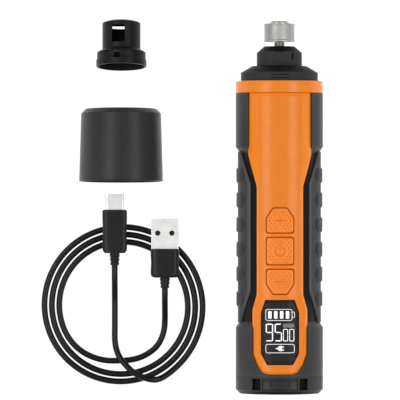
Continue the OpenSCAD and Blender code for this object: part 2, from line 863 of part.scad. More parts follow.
// A key has a curved face, and a flange that keeps it behind the panel.
module key(name) {
    color("#f98a3c") lay_tool() {
        intersection() {
            key_prism(name, 0, key_back, body_d);
            rod(key_r, 0, body_len);
        }
        key_prism(name, key_flange_w - move_gap, key_back, key_back + key_flange_t);
    }
}

module key_plus() {
    key("plus");
}

module key_power() {
    key("power");
}

module key_minus() {
    key("minus");
}

// A switch's stem, which moves with its key.
module stem(z) {
    color("#e4e4e0") lay_tool() translate([0, -key_back, z]) rotate([-90, 0, 0])
        cylinder(r = stem_r, h = stem_out + switch_h - key_travel - 0.2, $fn = 48);
}

module stem_plus() {
    stem(key_plus_z);
}

module stem_power() {
    stem(key_mid_z);
}

module stem_minus() {
    stem(key_minus_z);
}

module display_lens() {
    lens_r = panel_r - 0.15;
    color("#3a3a3c") lay_tool() intersection() {
        ring(lens_r - lens_t, lens_r, lens_z0 - past, lens_z1 + past);
        front_prism(mirrored(lens_side(0)), 1, body_d);
    }
}

// A bar of the display, between two corners.
module bar(x0, z0, x1, z1) {
    block([min(x0, x1), -module_front - 0.1, min(z0, z1)], [max(x0, x1), -module_front, max(z0, z1)]);
}

// An open frame of bars.
module bar_frame(x0, z0, x1, z1, t) {
    bar(x0, z0, x1, z0 + t);
    bar(x0, z1 - t, x1, z1);
    bar(x0, z0, x0 + t, z1);
    bar(x1 - t, z0, x1, z1);
}

// The lit marks: a charge gauge, two large and two small seven-segment digits, a bare pill and a charging frame.
module display_segments() {
    t = 0.45;
    color("#ffffff") lay_tool() translate([0, 0, module_z0]) {
        bar_frame(-6.3, 16.4, 5.2, 21, 0.3);
        bar_frame(5.2, 17.6, 6.4, 19.8, 0.3);
        for (i = [0:3]) {
            bar(-5.4 + 2.55 * i, 17.2, -3.7 + 2.55 * i, 20.2);
        }
        bar(-6.3, 7.5, -3.1, 7.5 + t);
        bar(-3.1 - t, 7.5, -3.1, 15.2);
        bar(-6.3, 11.2, -3.1, 11.2 + t);
        bar(-6.3, 11.2, -6.3 + t, 15.2);
        bar(-6.3, 15.2 - t, -3.1, 15.2);
        bar(-2.4, 7.5, 0.7, 7.5 + t);
        bar(0.7 - t, 7.5, 0.7, 11.2 + t);
        bar(-2.4, 11.2, 0.7, 11.2 + t);
        bar(-2.4, 11.2, -2.4 + t, 15.2);
        bar(-2.4, 15.2 - t, 0.4, 15.2);
        bar_frame(1.5, 7.5, 3.7, 12.9, t);
        bar_frame(4.2, 7.5, 6.4, 12.9, t);
        bar(1.3, 13.4, 6.3, 15.2);
        bar_frame(-6.3, 2.3, 6.4, 6.1, 0.3);
        bar(-1.2, 3.2, 1, 5.2);
    }
}

// ---------- Fasteners ----------

module housing_screws() {
    color("#5a5a5a") lay_tool() for (x = [-screw_x, screw_x], z = screw_zs) {
        translate([x, screw_head_y - screw_head_t, z]) rotate([-90, 0, 0]) difference() {
            union() {
                cylinder(r = screw_head_r, h = screw_head_t, $fn = 48);
                translate([0, 0, -screw_head_y - 5]) cylinder(r = screw_r, h = screw_head_y + 5, $fn = 48);
            }
            for (turn = [0, 90]) {
                rotate([0, 0, turn]) block([-1.4, -0.25, screw_head_t - 0.6], [1.4, 0.25, screw_head_t + past]);
            }
        }
    }
}

// ---------- Covers ----------

// The guard stands on its mouth: a lip, a skirt over the nose's collar, a slope and a domed cup round the drum.
module nail_guard() {
    w = guard_wall;
    cup_z = guard_skirt_h + guard_slope_h;
    cup_top = guard_h - guard_dome;
    seat_r = guard_seat_d / 2 + guard_gap;
    lip_r = seat_r + w;
    color("#222222") lay_cap(guard_place, lip_r, guard_top_r, cup_top) difference() {
        turned([
            [0, 0], [lip_r, 0], [lip_r, guard_lip_h], [lip_r - 0.35, guard_lip_h + 0.2],
            [lip_r - 0.35, guard_skirt_h], [guard_top_r, cup_z], [guard_top_r, cup_top],
            [guard_top_r * 0.75, guard_h - 0.45 * guard_dome], [guard_top_r * 0.45, guard_h - 0.12 * guard_dome],
            [0, guard_h]
        ]);
        turned([
            [0, -past], [seat_r, -past], [seat_r, guard_skirt_h - 0.2], [guard_top_r - w, cup_z - 0.1],
            [guard_top_r - w, cup_top - w], [0, cup_top - w]
        ]);
        block([-guard_window_w / 2 - 1.3, -body_d, guard_window_z], [guard_window_w / 2 - 1.3, 0, guard_h - 2.2]);
        block([-guard_window_w / 2 - 1.3, 0, guard_h - 4.2], [guard_window_w / 2 - 1.3, body_d, guard_h - 2.2]);
        for (turn = [-10, 170]) {
            rotate([0, 0, turn]) block([-1.5, -body_d, guard_lip_h + 0.8], [1.5, 1 - lip_r + w, guard_skirt_h - 0.3]);
        }
    }
}

module dust_cover() {
    w = cover_wall;
    color("#2b2b2b") lay_cap(cover_place, cover_mouth_r, cover_top_r, cover_h - cover_chamfer) difference() {
        turned([
            [0, 0], [cover_mouth_r - 0.3, 0], [cover_mouth_r, 0.3], [cover_top_r, cover_h - cover_chamfer],
            [cover_top_r - cover_chamfer, cover_h], [0, cover_h]
        ]);
        turned([
            [0, -past], [cover_mouth_r - w, -past], [cover_mouth_r - w, cover_seat_len + 2],
            [cover_top_r - w, cover_h - cover_chamfer - w / 2], [cover_top_r - cover_chamfer, cover_h - w], [0, cover_h - w]
        ]);
    }
}

// ---------- Charging lead ----------

module lead_coil() {
    color("#262626") translate([coil_place[0], coil_place[1], 0]) ring(coil_r0, coil_r1, 0, lead_d);
}

module lead_to_c() {
    color("#262626") tube(to_c_route, lead_d / 2);
}

module lead_to_a() {
    color("#262626") tube(to_a_route, lead_d / 2);
}

// A tapered strain relief, then the housing.
module plug_housing(relief_len, size, corner) {
    translate([0, fit_gap, 0]) rotate([-90, 0, 0]) cylinder(r1 = lead_d / 2 + 0.4, r2 = lead_d / 2 + 1.1, h = relief_len);
    translate([0, relief_len, 0]) plug_box(size, corner);
}

// A thin metal sleeve, open at its far end.
module plug_sleeve(start, size, corner) {
    s = shell_skin;
    translate([0, start, 0]) difference() {
        plug_box(size, corner);
        translate([0, 1, 0]) plug_box([size[0] - 2 * s, size[1], size[2] - 2 * s], corner);
    }
}

module c_plug_body() {
    color("#2a2a2a") translate(c_plug_place) plug_housing(c_relief_len, c_body, 1.8);
}

module c_plug_shell() {
    color("#d8d8d8") translate(c_plug_place) plug_sleeve(c_relief_len + c_body[1], c_shell, 1.1);
}

module a_plug_body() {
    color("#2a2a2a") translate(a_plug_place) plug_housing(a_relief_len, a_body, 1.2);
}

module a_plug_shell() {
    start = a_relief_len + a_body[1];
    color("#d8d8d8") translate(a_plug_place) difference() {
        plug_sleeve(start, a_shell, 0.4);
        for (x = [-3.1, 3.1]) {
            translate([x, start + 6.9, 0]) cylinder(r = 1.15, h = 5, $fn = 48);
        }
    }
}

module a_plug_insulator() {
    start = a_relief_len + a_body[1] + 1;
    inset = shell_skin + 0.2;
    hw = a_shell[0] / 2 - inset;
    color("#e8e8e8") translate(a_plug_place)
        block([-hw, start, inset - a_shell[2] / 2], [hw, start + a_shell[1] - 1.4, -0.1]);
}

rear_shell();
front_shell();
front_panel();
collar_ring();
grip_left();
grip_right();
nose_base();
nose_collar();
base_cap();
display_lens();
key_plus();
key_power();
key_minus();
stem_plus();
stem_power();
stem_minus();
switch_housings();
main_board();
display_module();
display_segments();
battery_cell();
battery_tabs();
battery_tray();
battery_leads();
motor_can();
motor_end_cap();
motor_magnets();
motor_armature();
motor_shaft();
motor_bushes();
motor_terminals();
motor_sleeve();
motor_bracket();
motor_screws();
motor_leads();
chuck_sleeve();
bearing_outer();
bearing_inner();
bearing_balls();
nose_seal();
drum_shank();
drum_hub();
drum_sleeve();
drum_cap();
usb_socket();
usb_socket_tongue();
charge_board();
charge_leads();
housing_screws();
board_screws();
nail_guard();
dust_cover();
lead_coil();
lead_to_c();
lead_to_a();
c_plug_shell();
c_plug_body();
a_plug_shell();
a_plug_insulator();
a_plug_body();
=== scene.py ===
"""Pet nail grinder with its nail guard, dust cover and charging lead, lying on a white table under
soft strip lights.

Lengths in the code below are in millimetres, and become metres where a mesh is made. A place on the
tool is written as (s, z, r): s is the way round from the front at the full radius, z the height above
the base end, r the distance from the axis.
"""

import math

import bmesh
import bpy
import numpy as np
from bpy.props import FloatProperty, FloatVectorProperty, IntProperty, PointerProperty
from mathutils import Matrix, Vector
from mathutils.geometry import delaunay_2d_cdt


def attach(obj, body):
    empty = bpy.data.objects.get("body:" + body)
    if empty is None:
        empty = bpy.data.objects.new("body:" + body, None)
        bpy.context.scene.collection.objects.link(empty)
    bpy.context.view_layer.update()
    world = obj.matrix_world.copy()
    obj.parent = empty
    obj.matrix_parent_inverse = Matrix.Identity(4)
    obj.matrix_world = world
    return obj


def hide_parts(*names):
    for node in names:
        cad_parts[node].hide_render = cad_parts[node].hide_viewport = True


bl_info = {
    "name": "Pet nail grinder",
    "version": (1, 0, 0),
    "blender": (4, 5, 0),
    "location": "View3D > Sidebar > Grinder",
    "description": "Builds a pet nail grinder, its covers and its charging lead round a packed frame",
    "category": "Object",
}

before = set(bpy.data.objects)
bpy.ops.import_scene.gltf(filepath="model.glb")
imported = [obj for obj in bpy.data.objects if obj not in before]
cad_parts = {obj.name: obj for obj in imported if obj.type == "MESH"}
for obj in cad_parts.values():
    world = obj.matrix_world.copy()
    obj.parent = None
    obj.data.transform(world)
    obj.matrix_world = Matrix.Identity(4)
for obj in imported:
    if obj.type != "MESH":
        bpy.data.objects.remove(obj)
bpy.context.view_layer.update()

AXIS_H = 17.0  # height of the tool's axis over the table
MID_Z = 69.1  # height on the tool that lies at the origin
FULL_R = 19.0  # radius of the heel, the shoulder and the collar


# ---------- Settings ----------


def length(name, description, size):
    """A length setting, with its default given in millimetres."""
    return FloatProperty(
        name=name, description=description, default=size / 1000, min=0.0, unit="LENGTH", precision=5,
    )


def colour(name, description, rgb):
    return FloatVectorProperty(
        name=name, description=description, default=rgb, min=0.0, max=1.0, size=3, subtype="COLOR",
    )


class GrinderSizes(bpy.types.PropertyGroup):
    """Sizes of the tool's visible pieces."""

    base_height: length("Base height", "Height of the base cap", 7.5)
    base_chamfer: length("Base chamfer", "Chamfer round the base end", 1.8)
    heel_height: length("Heel height", "Top of the full-width heel", 28.8)
    taper_length: length("Taper length", "Height of the tapers into the grip", 3.0)
    shoulder_height: length("Shoulder height", "Bottom of the full-width shoulder", 107.4)
    collar_height: length("Collar height", "Bottom of the collar ring", 130.7)
    body_height: length("Body height", "Top of the collar ring", 136.0)
    grip_radius: length("Grip radius", "Radius of the grip pads between their ribs", 18.1)
    valley_radius: length("Valley radius", "Radius of the shells under the pads", 16.95)
    rib_height: length("Rib height", "Height of a rib above its pad", 0.65)
    rib_length: length("Rib length", "Length of a rib along the tool", 5.4)
    rib_count: IntProperty(name="Ribs", description="Number of ribs on a pad", default=6, min=1)
    pad_edge: length("Pad edge", "Half the gap between the two pads across the front", 12.6)
    panel_radius: length("Panel radius", "Radius of the front panel's surface", 18.3)
    panel_thickness: length("Panel thickness", "Thickness of the front panel", 1.55)
    key_radius: length("Key radius", "Radius of the keys' faces", 18.7)
    key_width: length("Key width", "Width of each key", 11.9)
    key_power_height: length("Power key height", "Height of the power key", 11.9)
    key_speed_height: length("Speed key height", "Height of the plus and minus keys", 10.9)
    key_middle: length("Key middle", "Height of the power key's centre", 62.1)
    key_pitch: length("Key pitch", "Distance between key centres", 13.25)
    dot_pitch: length("Dot pitch", "Distance between the dots on a key", 1.5)
    lens_radius: length("Window radius", "Radius of the display window's surface", 18.15)
    cover_seat_radius: length("Cover seat radius", "Radius of the ring under the dust cover", 16.8)
    guard_seat_radius: length("Guard seat radius", "Radius of the collar under the nail guard", 9.85)
    drum_radius: length("Drum radius", "Radius of the grinding drum", 6.7)
    drum_bottom: length("Drum bottom", "Height of the drum's lower edge", 153.2)
    drum_height: length("Drum height", "Height of the drum", 7.8)


class GrinderLead(bpy.types.PropertyGroup):
    """Sizes of the charging lead."""

    diameter: length("Diameter", "Diameter of the lead", 2.7)
    coil_radius: length("Coil radius", "Radius of the outer turn's middle", 36.1)
    coil_pitch: length("Coil pitch", "Distance between neighbouring turns", 3.25)


class GrinderLook(bpy.types.PropertyGroup):
    """Colours, and the strength of the light."""

    orange: colour("Orange", "Colour of the panel and the collar", (0.87, 0.230, 0.017))
    key_orange: colour("Key orange", "Colour of the keys", (0.96, 0.240, 0.020))
    housing: colour("Housing", "Colour of the dark housing", (0.047, 0.047, 0.048))
    grip: colour("Grip", "Colour of the soft grips", (0.048, 0.048, 0.049))
    nose: colour("Nose", "Colour of the nose", (0.038, 0.038, 0.039))
    cover: colour("Dust cover", "Colour of the dust cover", (0.026, 0.026, 0.027))
    guard: colour("Nail guard", "Colour of the nail guard", (0.011, 0.011, 0.012))
    strip_power: FloatProperty(
        name="Strip power", description="Power of each strip light", default=0.5, min=0.0, unit="POWER",
    )
    fill: FloatProperty(name="Fill", description="Brightness of the room", default=0.6, min=0.0)


# ---------- Shapes ----------


def mm(value):
    """A setting, which is in metres, in millimetres."""
    return value * 1000


def arc(x, r):
    """The way round the full radius to a point that lies x to the side at radius r."""
    return FULL_R * math.asin(max(-1.0, min(1.0, x / r)))


def place(s, z, r):
    """The world position of a place on the tool. Nothing reaches below the flat back."""
    a = s / FULL_R
    return (r * math.sin(a) / 1000, (z - MID_Z) / 1000, max(AXIS_H + r * math.cos(a), 0.0) / 1000)


def rounded(points, r, n=5, closed=True):
    """The outline with its corners rounded to r. Each corner gives n + 1 points."""
    straight, share = 1.56, 0.45
    out = []
    count = len(points)
    for i, b in enumerate(points):
        if not closed and i in (0, count - 1):
            out.append(tuple(b))
            continue
        radius = r[i] if isinstance(r, (list, tuple)) else r
        a, b, c = Vector(points[i - 1]), Vector(b), Vector(points[(i + 1) % count])
        u, v = (a - b), (c - b)
        lu, lv = u.length, v.length
        u, v = u / lu, v / lv
        half = math.acos(max(-1.0, min(1.0, u.dot(v)))) / 2
        if radius <= 0 or half > straight:
            out += [tuple(b)] * (n + 1 if closed else 1)
            continue
        d = min(radius / math.tan(half), lu * share, lv * share)
        for k in range(n + 1):
            t = k / n
            out.append(tuple((b + u * d) * (1 - t) ** 2 + b * 2 * t * (1 - t) + (b + v * d) * t * t))
    return out


def mirrored(side):
    """A closed outline, anticlockwise, from its right-hand side listed from the top down."""
    return [(-x, z) for x, z in side] + [(x, z) for x, z in reversed(side)]


def dense(points, step):
    """The open line with extra points, so that none lie further apart than step."""
    out = []
    for a, b in zip(points, points[1:]):
        n = max(1, math.ceil(math.dist(a, b) / step))
        out += [tuple(a[k] + (b[k] - a[k]) * j / n for k in range(len(a))) for j in range(n)]
    return [*out, tuple(points[-1])]


def inside(points, loop):
    """Which of the points lie inside the loop."""
    x, y = points[:, 0], points[:, 1]
    hit = np.zeros(len(points), dtype=bool)
    n = len(loop)
    for i in range(n):
        (ax, ay), (bx, by) = loop[i], loop[(i + 1) % n]
        if ay == by:
            continue
        cross = ((ay > y) != (by > y)) & (x < (bx - ax) * (y - ay) / (by - ay) + ax)
        hit ^= cross
    return hit


def in_shape(points, loops):
    """Which of the points lie inside the first loop and outside all the others."""
    keep = inside(points, loops[0])
    for loop in loops[1:]:
        keep &= ~inside(points, loop)
    return keep


def box_loop(x0, y0, x1, y1, r, n=4):
    """A rectangle with rounded corners."""
    return rounded([(x0, y0), (x1, y0), (x1, y1), (x0, y1)], r, n)


def from_front(angle):
    """An angle in degrees as the turn to either side of the front, from -180 to 180."""
    return (angle + 180) % 360 - 180


def new_object(name, verts, faces, material, body, sharp=35.0, rim=None, rim_faces=range(0)):
    """A mesh object that rides on a body, with its faces turned outwards and its sharp edges kept."""
    weld = 1e-7
    mesh = bpy.data.meshes.new(name)
    bm = bmesh.new()
    made = [bm.verts.new(v) for v in verts]
    for k, face in enumerate(faces):
        if len(set(face)) > 2:
            bm.faces.new([made[i] for i in face]).material_index = int(k in rim_faces)
    bmesh.ops.remove_doubles(bm, verts=bm.verts, dist=weld)
    bmesh.ops.dissolve_degenerate(bm, edges=bm.edges, dist=weld)
    bmesh.ops.recalc_face_normals(bm, faces=bm.faces)
    bm.to_mesh(mesh)
    bm.free()
    mesh.shade_smooth()
    mesh.set_sharp_from_angle(angle=math.radians(sharp))
    obj = bpy.data.objects.new(name, mesh)
    bpy.context.scene.collection.objects.link(obj)
    mesh.materials.append(material)
    if rim:
        mesh.materials.append(rim)
    if body:
        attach(obj, body)
    return obj


def bridge(faces, a, b):
    """Adds the faces between two closed loops of as many points."""
    n = len(a)
    for i in range(n):
        j = (i + 1) % n
        faces.append((a[i], a[j], b[j], b[i]))


def spots_for(loops, fixed, step):
    """Even spots inside the shape of the loops, none of them close to the fixed points."""
    border = np.array([tuple(Vector(p)) for loop in loops for p in loop])
    low, high = border.min(axis=0), border.max(axis=0)
    ticks = [np.linspace(low[k], high[k], max(2, round((high[k] - low[k]) / step))) for k in (0, 1)]
    grid = np.stack(np.meshgrid(*ticks), -1).reshape(-1, 2)
    grid = grid[in_shape(grid, loops)]
    far = np.ones(len(grid), dtype=bool)
    clear, batch = 0.45 * step, 2000
    for i in range(0, len(grid), batch):
        apart = ((grid[i : i + batch, None, :] - fixed[None, :, :]) ** 2).sum(-1).min(axis=1)
        far[i : i + batch] = apart > clear ** 2
    return grid[far]


def skin(name, outer, radius, material, body, step=0.8, holes=(), lines=(), sharp=35.0, rim=None, rim_from=0):
    """A surface wrapped round the axis, with a wall down from its outline and from each hole.

    outer and each of holes is a stack of (loop, radius) pairs from the foot of the wall up to the
    surface, with loops in (s, z). radius(s, z) gives the surface, lines are creases in (s, z), and rim
    is a second material for the outer wall from step rim_from up.
    """
    verts, faces, flat, ids, edges = [], [], [], [], []
    for stack in [outer, *holes]:
        before = None
        for loop, r in stack:
            row = range(len(verts), len(verts) + len(loop))
            verts += [place(s, z, r(s, z) if callable(r) else r) for s, z in loop]
            if before is not None:
                bridge(faces, before, row)
            before = row
        if stack is outer:
            rim_faces = range(rim_from * len(loop), len(faces))
        edges += [(len(flat) + i, len(flat) + (i + 1) % len(loop)) for i in range(len(loop))]
        flat += [Vector(p) for p in loop]
        ids += before
    loops = [stack[-1][0] for stack in [outer, *holes]]
    fixed = [[tuple(p) for p in flat]]
    for line in lines:
        points = dense(line, step)
        edges += [(len(flat) + i, len(flat) + i + 1) for i in range(len(points) - 1)]
        flat += [Vector(p) for p in points]
        fixed.append(points)
    flat += [Vector(p) for p in spots_for(loops, np.vstack(fixed), step)]
    points, _, triangles, origin, _, _ = delaunay_2d_cdt(flat, edges, [], 0, 1e-6)
    index = []
    for p, source in zip(points, origin):
        known = [i for i in source if i < len(ids)]
        if known:
            index.append(ids[known[0]])
        else:
            index.append(len(verts))
            verts.append(place(p.x, p.y, radius(p.x, p.y)))
    middles = np.array([[sum(points[i][k] for i in t) / 3 for k in (0, 1)] for t in triangles])
    faces += [tuple(index[i] for i in t) for t, kept in zip(triangles, in_shape(middles, loops)) if kept]
    return new_object(name, verts, faces, material, body, sharp, rim, rim_faces)


def lathe(name, profile, material, body, n=192, put=place, sharp=35.0, shape=None):
    """A profile of (r, z) pairs turned about the axis. shape(angle, z, r) may change a radius."""
    angles = [math.radians(360 * i / n) for i in range(n)]
    verts, faces, before = [], [], None
    for r, z in profile:
        row = range(len(verts), len(verts) + n)
        verts += [put(a * FULL_R, z, shape(math.degrees(a), z, r) if shape else r) for a in angles]
        if before:
            bridge(faces, before, row)
        before = row
    return new_object(name, verts, faces, material, body, sharp)


def tube(name, loops, material, body):
    """A closed body through loops of world positions, with a flat face on the first and the last."""
    verts, faces = [], []
    n = len(loops[0])
    for k, loop in enumerate(loops):
        verts += loop
        if k:
            bridge(faces, range((k - 1) * n, k * n), range(k * n, (k + 1) * n))
    faces += [tuple(range(n)), tuple(range(len(verts) - n, len(verts)))]
    return new_object(name, verts, faces, material, body)


def cut_out(obj, cutters, sharp=25.0):
    """Cuts the closed cutter objects out of the object for good."""
    for cutter in cutters:
        cut = obj.modifiers.new(cutter.name, "BOOLEAN")
        cut.object = cutter
        cut.solver = "EXACT"
    made = bpy.data.meshes.new_from_object(obj.evaluated_get(bpy.context.evaluated_depsgraph_get()))
    obj.modifiers.clear()
    obj.data = made
    for cutter in cutters:
        bpy.data.objects.remove(cutter)
    made.set_sharp_from_angle(angle=math.radians(sharp))


def dress(obj, mat, bevel=0.12, sharp=35.0):
    """Gives a CAD node its material, and softened edges that its own mesh doesn't hold."""
    obj.data.materials.clear()
    obj.data.materials.append(mat)
    if bevel:
        soft = obj.modifiers.new("soft_edges", "BEVEL")
        soft.width = bevel / 1000
        soft.segments = 2
        soft.limit_method = "ANGLE"
        soft.angle_limit = math.radians(sharp)
        soft.harden_normals = False
    smooth = obj.modifiers.new("normals", "WEIGHTED_NORMAL")
    smooth.keep_sharp = True


# ---------- Materials ----------


def add_node(tree, kind, inputs, operation=None):
    """A new shader node. inputs gives each socket its value, or the output that feeds it."""
    node = tree.nodes.new("ShaderNode" + kind)
    if operation:
        node.operation = operation
    for key, value in inputs.items():
        if isinstance(value, bpy.types.NodeSocket):
            tree.links.new(value, node.inputs[key])
        else:
            node.inputs[key].default_value = value
    return node


def arithmetic(tree, operation, *values):
    """The result of a sum or the like on numbers and outputs."""
    return add_node(tree, "Math", dict(enumerate(values)), operation).outputs["Value"]


def spread(tree, source, low, high, start=0.3, end=0.7, smooth=False):
    """The source's stretch from start to end, drawn out so that it runs from low to high."""
    node = add_node(tree, "MapRange", {
        "Value": source, "From Min": start, "From Max": end, "To Min": low, "To Max": high,
    })
    if smooth:
        node.interpolation_type = "SMOOTHSTEP"
    return node.outputs["Result"]


BROAD_SCALE = 220.0  # how fine the patches are that vary a material's colour and roughness


def shader(
    name, rgb, rough, metallic=0.0, grain=None, mottle=0.0, edge=0.0, spec=0.5, brushed=None, painted_shade=None,
):
    """A material.

    grain is (size in mm, depth in mm) of its surface texture. mottle varies its colour and roughness.
    edge lightens convex edges. brushed is an axis along which the grain is drawn out. painted_shade is
    (radius, radius, shade): painted shade, which darkens the colour to shade from the second to the first
    distance from the tool's axis, so that hollows nearer the axis look shaded.
    """
    name = "grinder_" + name
    mat = bpy.data.materials.get(name)
    if mat:
        return mat
    mat = bpy.data.materials.new(name)
    mat.use_nodes = True
    tree = mat.node_tree
    bsdf = tree.nodes["Principled BSDF"]
    bsdf.inputs["Metallic"].default_value = metallic
    bsdf.inputs["Specular IOR Level"].default_value = spec
    spot = tree.nodes.new("ShaderNodeTexCoord").outputs["Object"]
    broad = add_node(tree, "TexNoise", {"Vector": spot, "Scale": BROAD_SCALE, "Detail": 4.0}).outputs["Fac"]
    roughness = spread(tree, broad, rough * (1 - mottle), rough * (1 + mottle))
    tree.links.new(roughness, bsdf.inputs["Roughness"])
    value = spread(tree, broad, 1 - mottle * 0.4, 1 + mottle * 0.4)
    if edge:
        bend = tree.nodes.new("ShaderNodeNewGeometry").outputs["Pointiness"]
        value = arithmetic(tree, "ADD", value, spread(tree, bend, 0.0, edge, 0.505, 0.56))
    # Painted shade: the colour darkens nearer the tool's axis, where the hollows are.
    if painted_shade:
        near, far, shade = painted_shade
        to_axis = {0: spot, 1: (1.0, 0.0, 1.0), 2: (0.0, 0.0, -AXIS_H / 1000)}
        across = add_node(tree, "VectorMath", to_axis, "MULTIPLY_ADD").outputs["Vector"]
        away = add_node(tree, "VectorMath", {0: across}, "LENGTH").outputs["Value"]
        fall = spread(tree, away, shade, 1.0, near / 1000, far / 1000)
        value = arithmetic(tree, "MULTIPLY", value, fall)
    tint = add_node(tree, "HueSaturation", {"Color": (*rgb, 1.0), "Value": value})
    tree.links.new(tint.outputs["Color"], bsdf.inputs["Base Color"])
    if grain:
        size, depth = grain
        if brushed:
            spot = add_node(tree, "VectorMath", {0: spot, 1: brushed}, "MULTIPLY").outputs["Vector"]
        fine = add_node(tree, "TexNoise", {"Vector": spot, "Scale": 1000 / size, "Detail": 3.0})
        relief = {"Height": fine.outputs["Fac"], "Distance": depth / 1000, "Strength": 1.0}
        tree.links.new(add_node(tree, "Bump", relief).outputs["Normal"], bsdf.inputs["Normal"])
    return mat


# gain gives lighter or darker copies of the orange; the panel uses them as painted highlight and painted
# shade.
def orange_plastic(look, name="orange_shell", gain=1.0, spec=0.3, painted_shade=None):
    rgb = [gain * v for v in look.orange]
    return shader(name, rgb, 0.2, grain=(0.5, 0.001), mottle=0.06, spec=spec, painted_shade=painted_shade)


def key_rubber(look):
    # Painted shade: the key's pits and the grooves of its sign are coloured darker than its face.
    pits = (18.4, 18.66, 0.58)
    return shader("key_rubber", look.key_orange, 0.48, grain=(0.25, 0.002), mottle=0.08, spec=0.35, painted_shade=pits)


# Painted shade: by default the shell darkens below 17.5 mm from the axis, in the valley beside the panel.
def housing_plastic(look, name="dark_shell", painted_shade=(17.0, 17.5, 0.22)):
    rgb = look.housing
    return shader(name, rgb, 0.38, grain=(0.3, 0.003), mottle=0.12, edge=0.2, spec=0.1, painted_shade=painted_shade)


# Painted shade: by default the pads darken below 18.02 mm from the axis, in their pits and at their feet.
def grip_rubber(look, name="soft_grip", gain=1.0, painted_shade=(17.45, 18.02, 0.35)):
    rgb = [gain * v for v in look.grip]
    return shader(name, rgb, 0.5, grain=(0.22, 0.006), mottle=0.18, edge=0.3, spec=0.1, painted_shade=painted_shade)


def nose_plastic(look, name, painted_shade):
    return shader(name, look.nose, 0.38, grain=(0.3, 0.0025), mottle=0.1, edge=0.15, spec=0.03, painted_shade=painted_shade)


def cover_plastic(name, rgb, spec):
    return shader(name, rgb, 0.34, grain=(0.35, 0.003), mottle=0.12, edge=0.2, spec=spec)


def steel(name, rough, rgb, brushed=(1.0, 14.0, 14.0)):
    return shader(name, rgb, rough, metallic=1.0, grain=(0.5, 0.003), mottle=0.2, brushed=brushed)


def grit():
    rgb = (0.52, 0.515, 0.495)
    return shader("diamond_grit", rgb, 0.55, metallic=0.85, grain=(0.16, 0.008), mottle=0.15, edge=0.3)


def window_glass():
    """Smoked plastic: a clear dark sheet with a smooth, bright surface."""
    mat = shader("smoked_window", (0.010, 0.010, 0.011), 0.08, mottle=0.05, spec=0.25)
    mat.node_tree.nodes["Principled BSDF"].inputs["Alpha"].default_value = 0.3
    return mat


def glow(name, rgb, strength):
    """A material that shines by itself."""
    mat = bpy.data.materials.new("grinder_" + name)
    mat.use_nodes = True
    bsdf = mat.node_tree.nodes["Principled BSDF"]
    bsdf.inputs["Base Color"].default_value = (*rgb, 1.0)
    bsdf.inputs["Emission Color"].default_value = (*rgb, 1.0)
    bsdf.inputs["Emission Strength"].default_value = strength
    return mat


# ---------- Outlines ----------

PANEL_CORNERS = [0.3, 6.0, 6.0, 4.0, 3.0, 1.5, 4.0, 2.0, 2.0]


def panel_loop(side, top=None, shoulder=0.0, low=0.0):
    """The front panel's outline in (x, z), pushed in by side, and by top at its upper edge. shoulder and
    low push in the part above the keys and the part below it further."""
    top = side if top is None else top
    a, b = side + shoulder, side + low
    points = [
        (13.7 - a, 130.7 - top), (13.7 - a, 103.9), (10.05 - b, 90.2), (10.05 - b, 43.2),
        (11.9 - b, 36.6), (11.9 - b, 17.5), (10.1 - b * 0.95, 12.8 + b * 0.25),
        (8.0 - b * 0.8, 9.5 + b * 0.6), (5.6 - b * 0.6, 8.7 + b),
    ]
    return rounded(mirrored(points), PANEL_CORNERS + PANEL_CORNERS[::-1])


def lens_loop(push):
    """The display window's outline, pushed in."""
    side = [
        (6.3 - push * 0.6, 40.9 - push), (8.2 - push, 35.4),
        (8.2 - push, 17.8), (5.55 - push * 0.5, 12.9 + push),
    ]
    return rounded(mirrored(side), [0.5, 1.5, 1.5, 0.6, 0.6, 1.5, 1.5, 0.5], n=4)


def key_loop(kind, sizes, push):
    """A key's outline, pushed in. The speed keys have slanted outer corners."""
    w = mm(sizes.key_width) / 2
    middle, pitch = mm(sizes.key_middle), mm(sizes.key_pitch)
    if kind == "power":
        h = mm(sizes.key_power_height) / 2
        return rounded(mirrored([(w - push, middle + h - push), (w - push, middle - h + push)]), 1.3)
    h = mm(sizes.key_speed_height) / 2
    loop = rounded(mirrored([(w - 2.9 - push * 0.5, h - push), (w - push, 0.95), (w - push, push - h)]), 1.3)
    if kind == "plus":
        return [(x, middle + pitch + z) for x, z in loop]
    return [(x, middle - pitch - z) for x, z in reversed(loop)]


def wrapped(loop, r):
    """An outline in (x, z) laid on the tool at radius r."""
    return [(arc(x, r), z) for x, z in loop]


def in_step(stack, step=0.9):
    """The stack with its long sides divided alike in every loop, so that the loops still pair up."""
    first = stack[-1][0]
    sides = zip(first, first[1:] + first[:1])
    counts = [max(1, math.ceil(math.dist(a, b) / step)) for a, b in sides]
    out = []
    for loop, r in stack:
        fine = []
        for n, a, b in zip(counts, loop, loop[1:] + loop[:1]):
            fine += [(a[0] + (b[0] - a[0]) * j / n, a[1] + (b[1] - a[1]) * j / n) for j in range(n)]
        out.append((fine, r))
    return out


def wall(pairs, step=0.9):
    """A stack from (outline in (x, z), radius) pairs, from the foot of the wall up."""
    return in_step([(wrapped(loop, r), r) for loop, r in pairs], step)


# ---------- Housing ----------


def shell_radius(sizes):
    """The radius of the two shells at a height, in a function."""
    valley = mm(sizes.valley_radius)
    heel, shoulder, taper = mm(sizes.heel_height), mm(sizes.shoulder_height), mm(sizes.taper_length)
    stops = [heel, heel + taper, shoulder - taper, shoulder]
    values = [FULL_R, valley, valley, FULL_R]
    return lambda z: float(np.interp(z, stops, values))


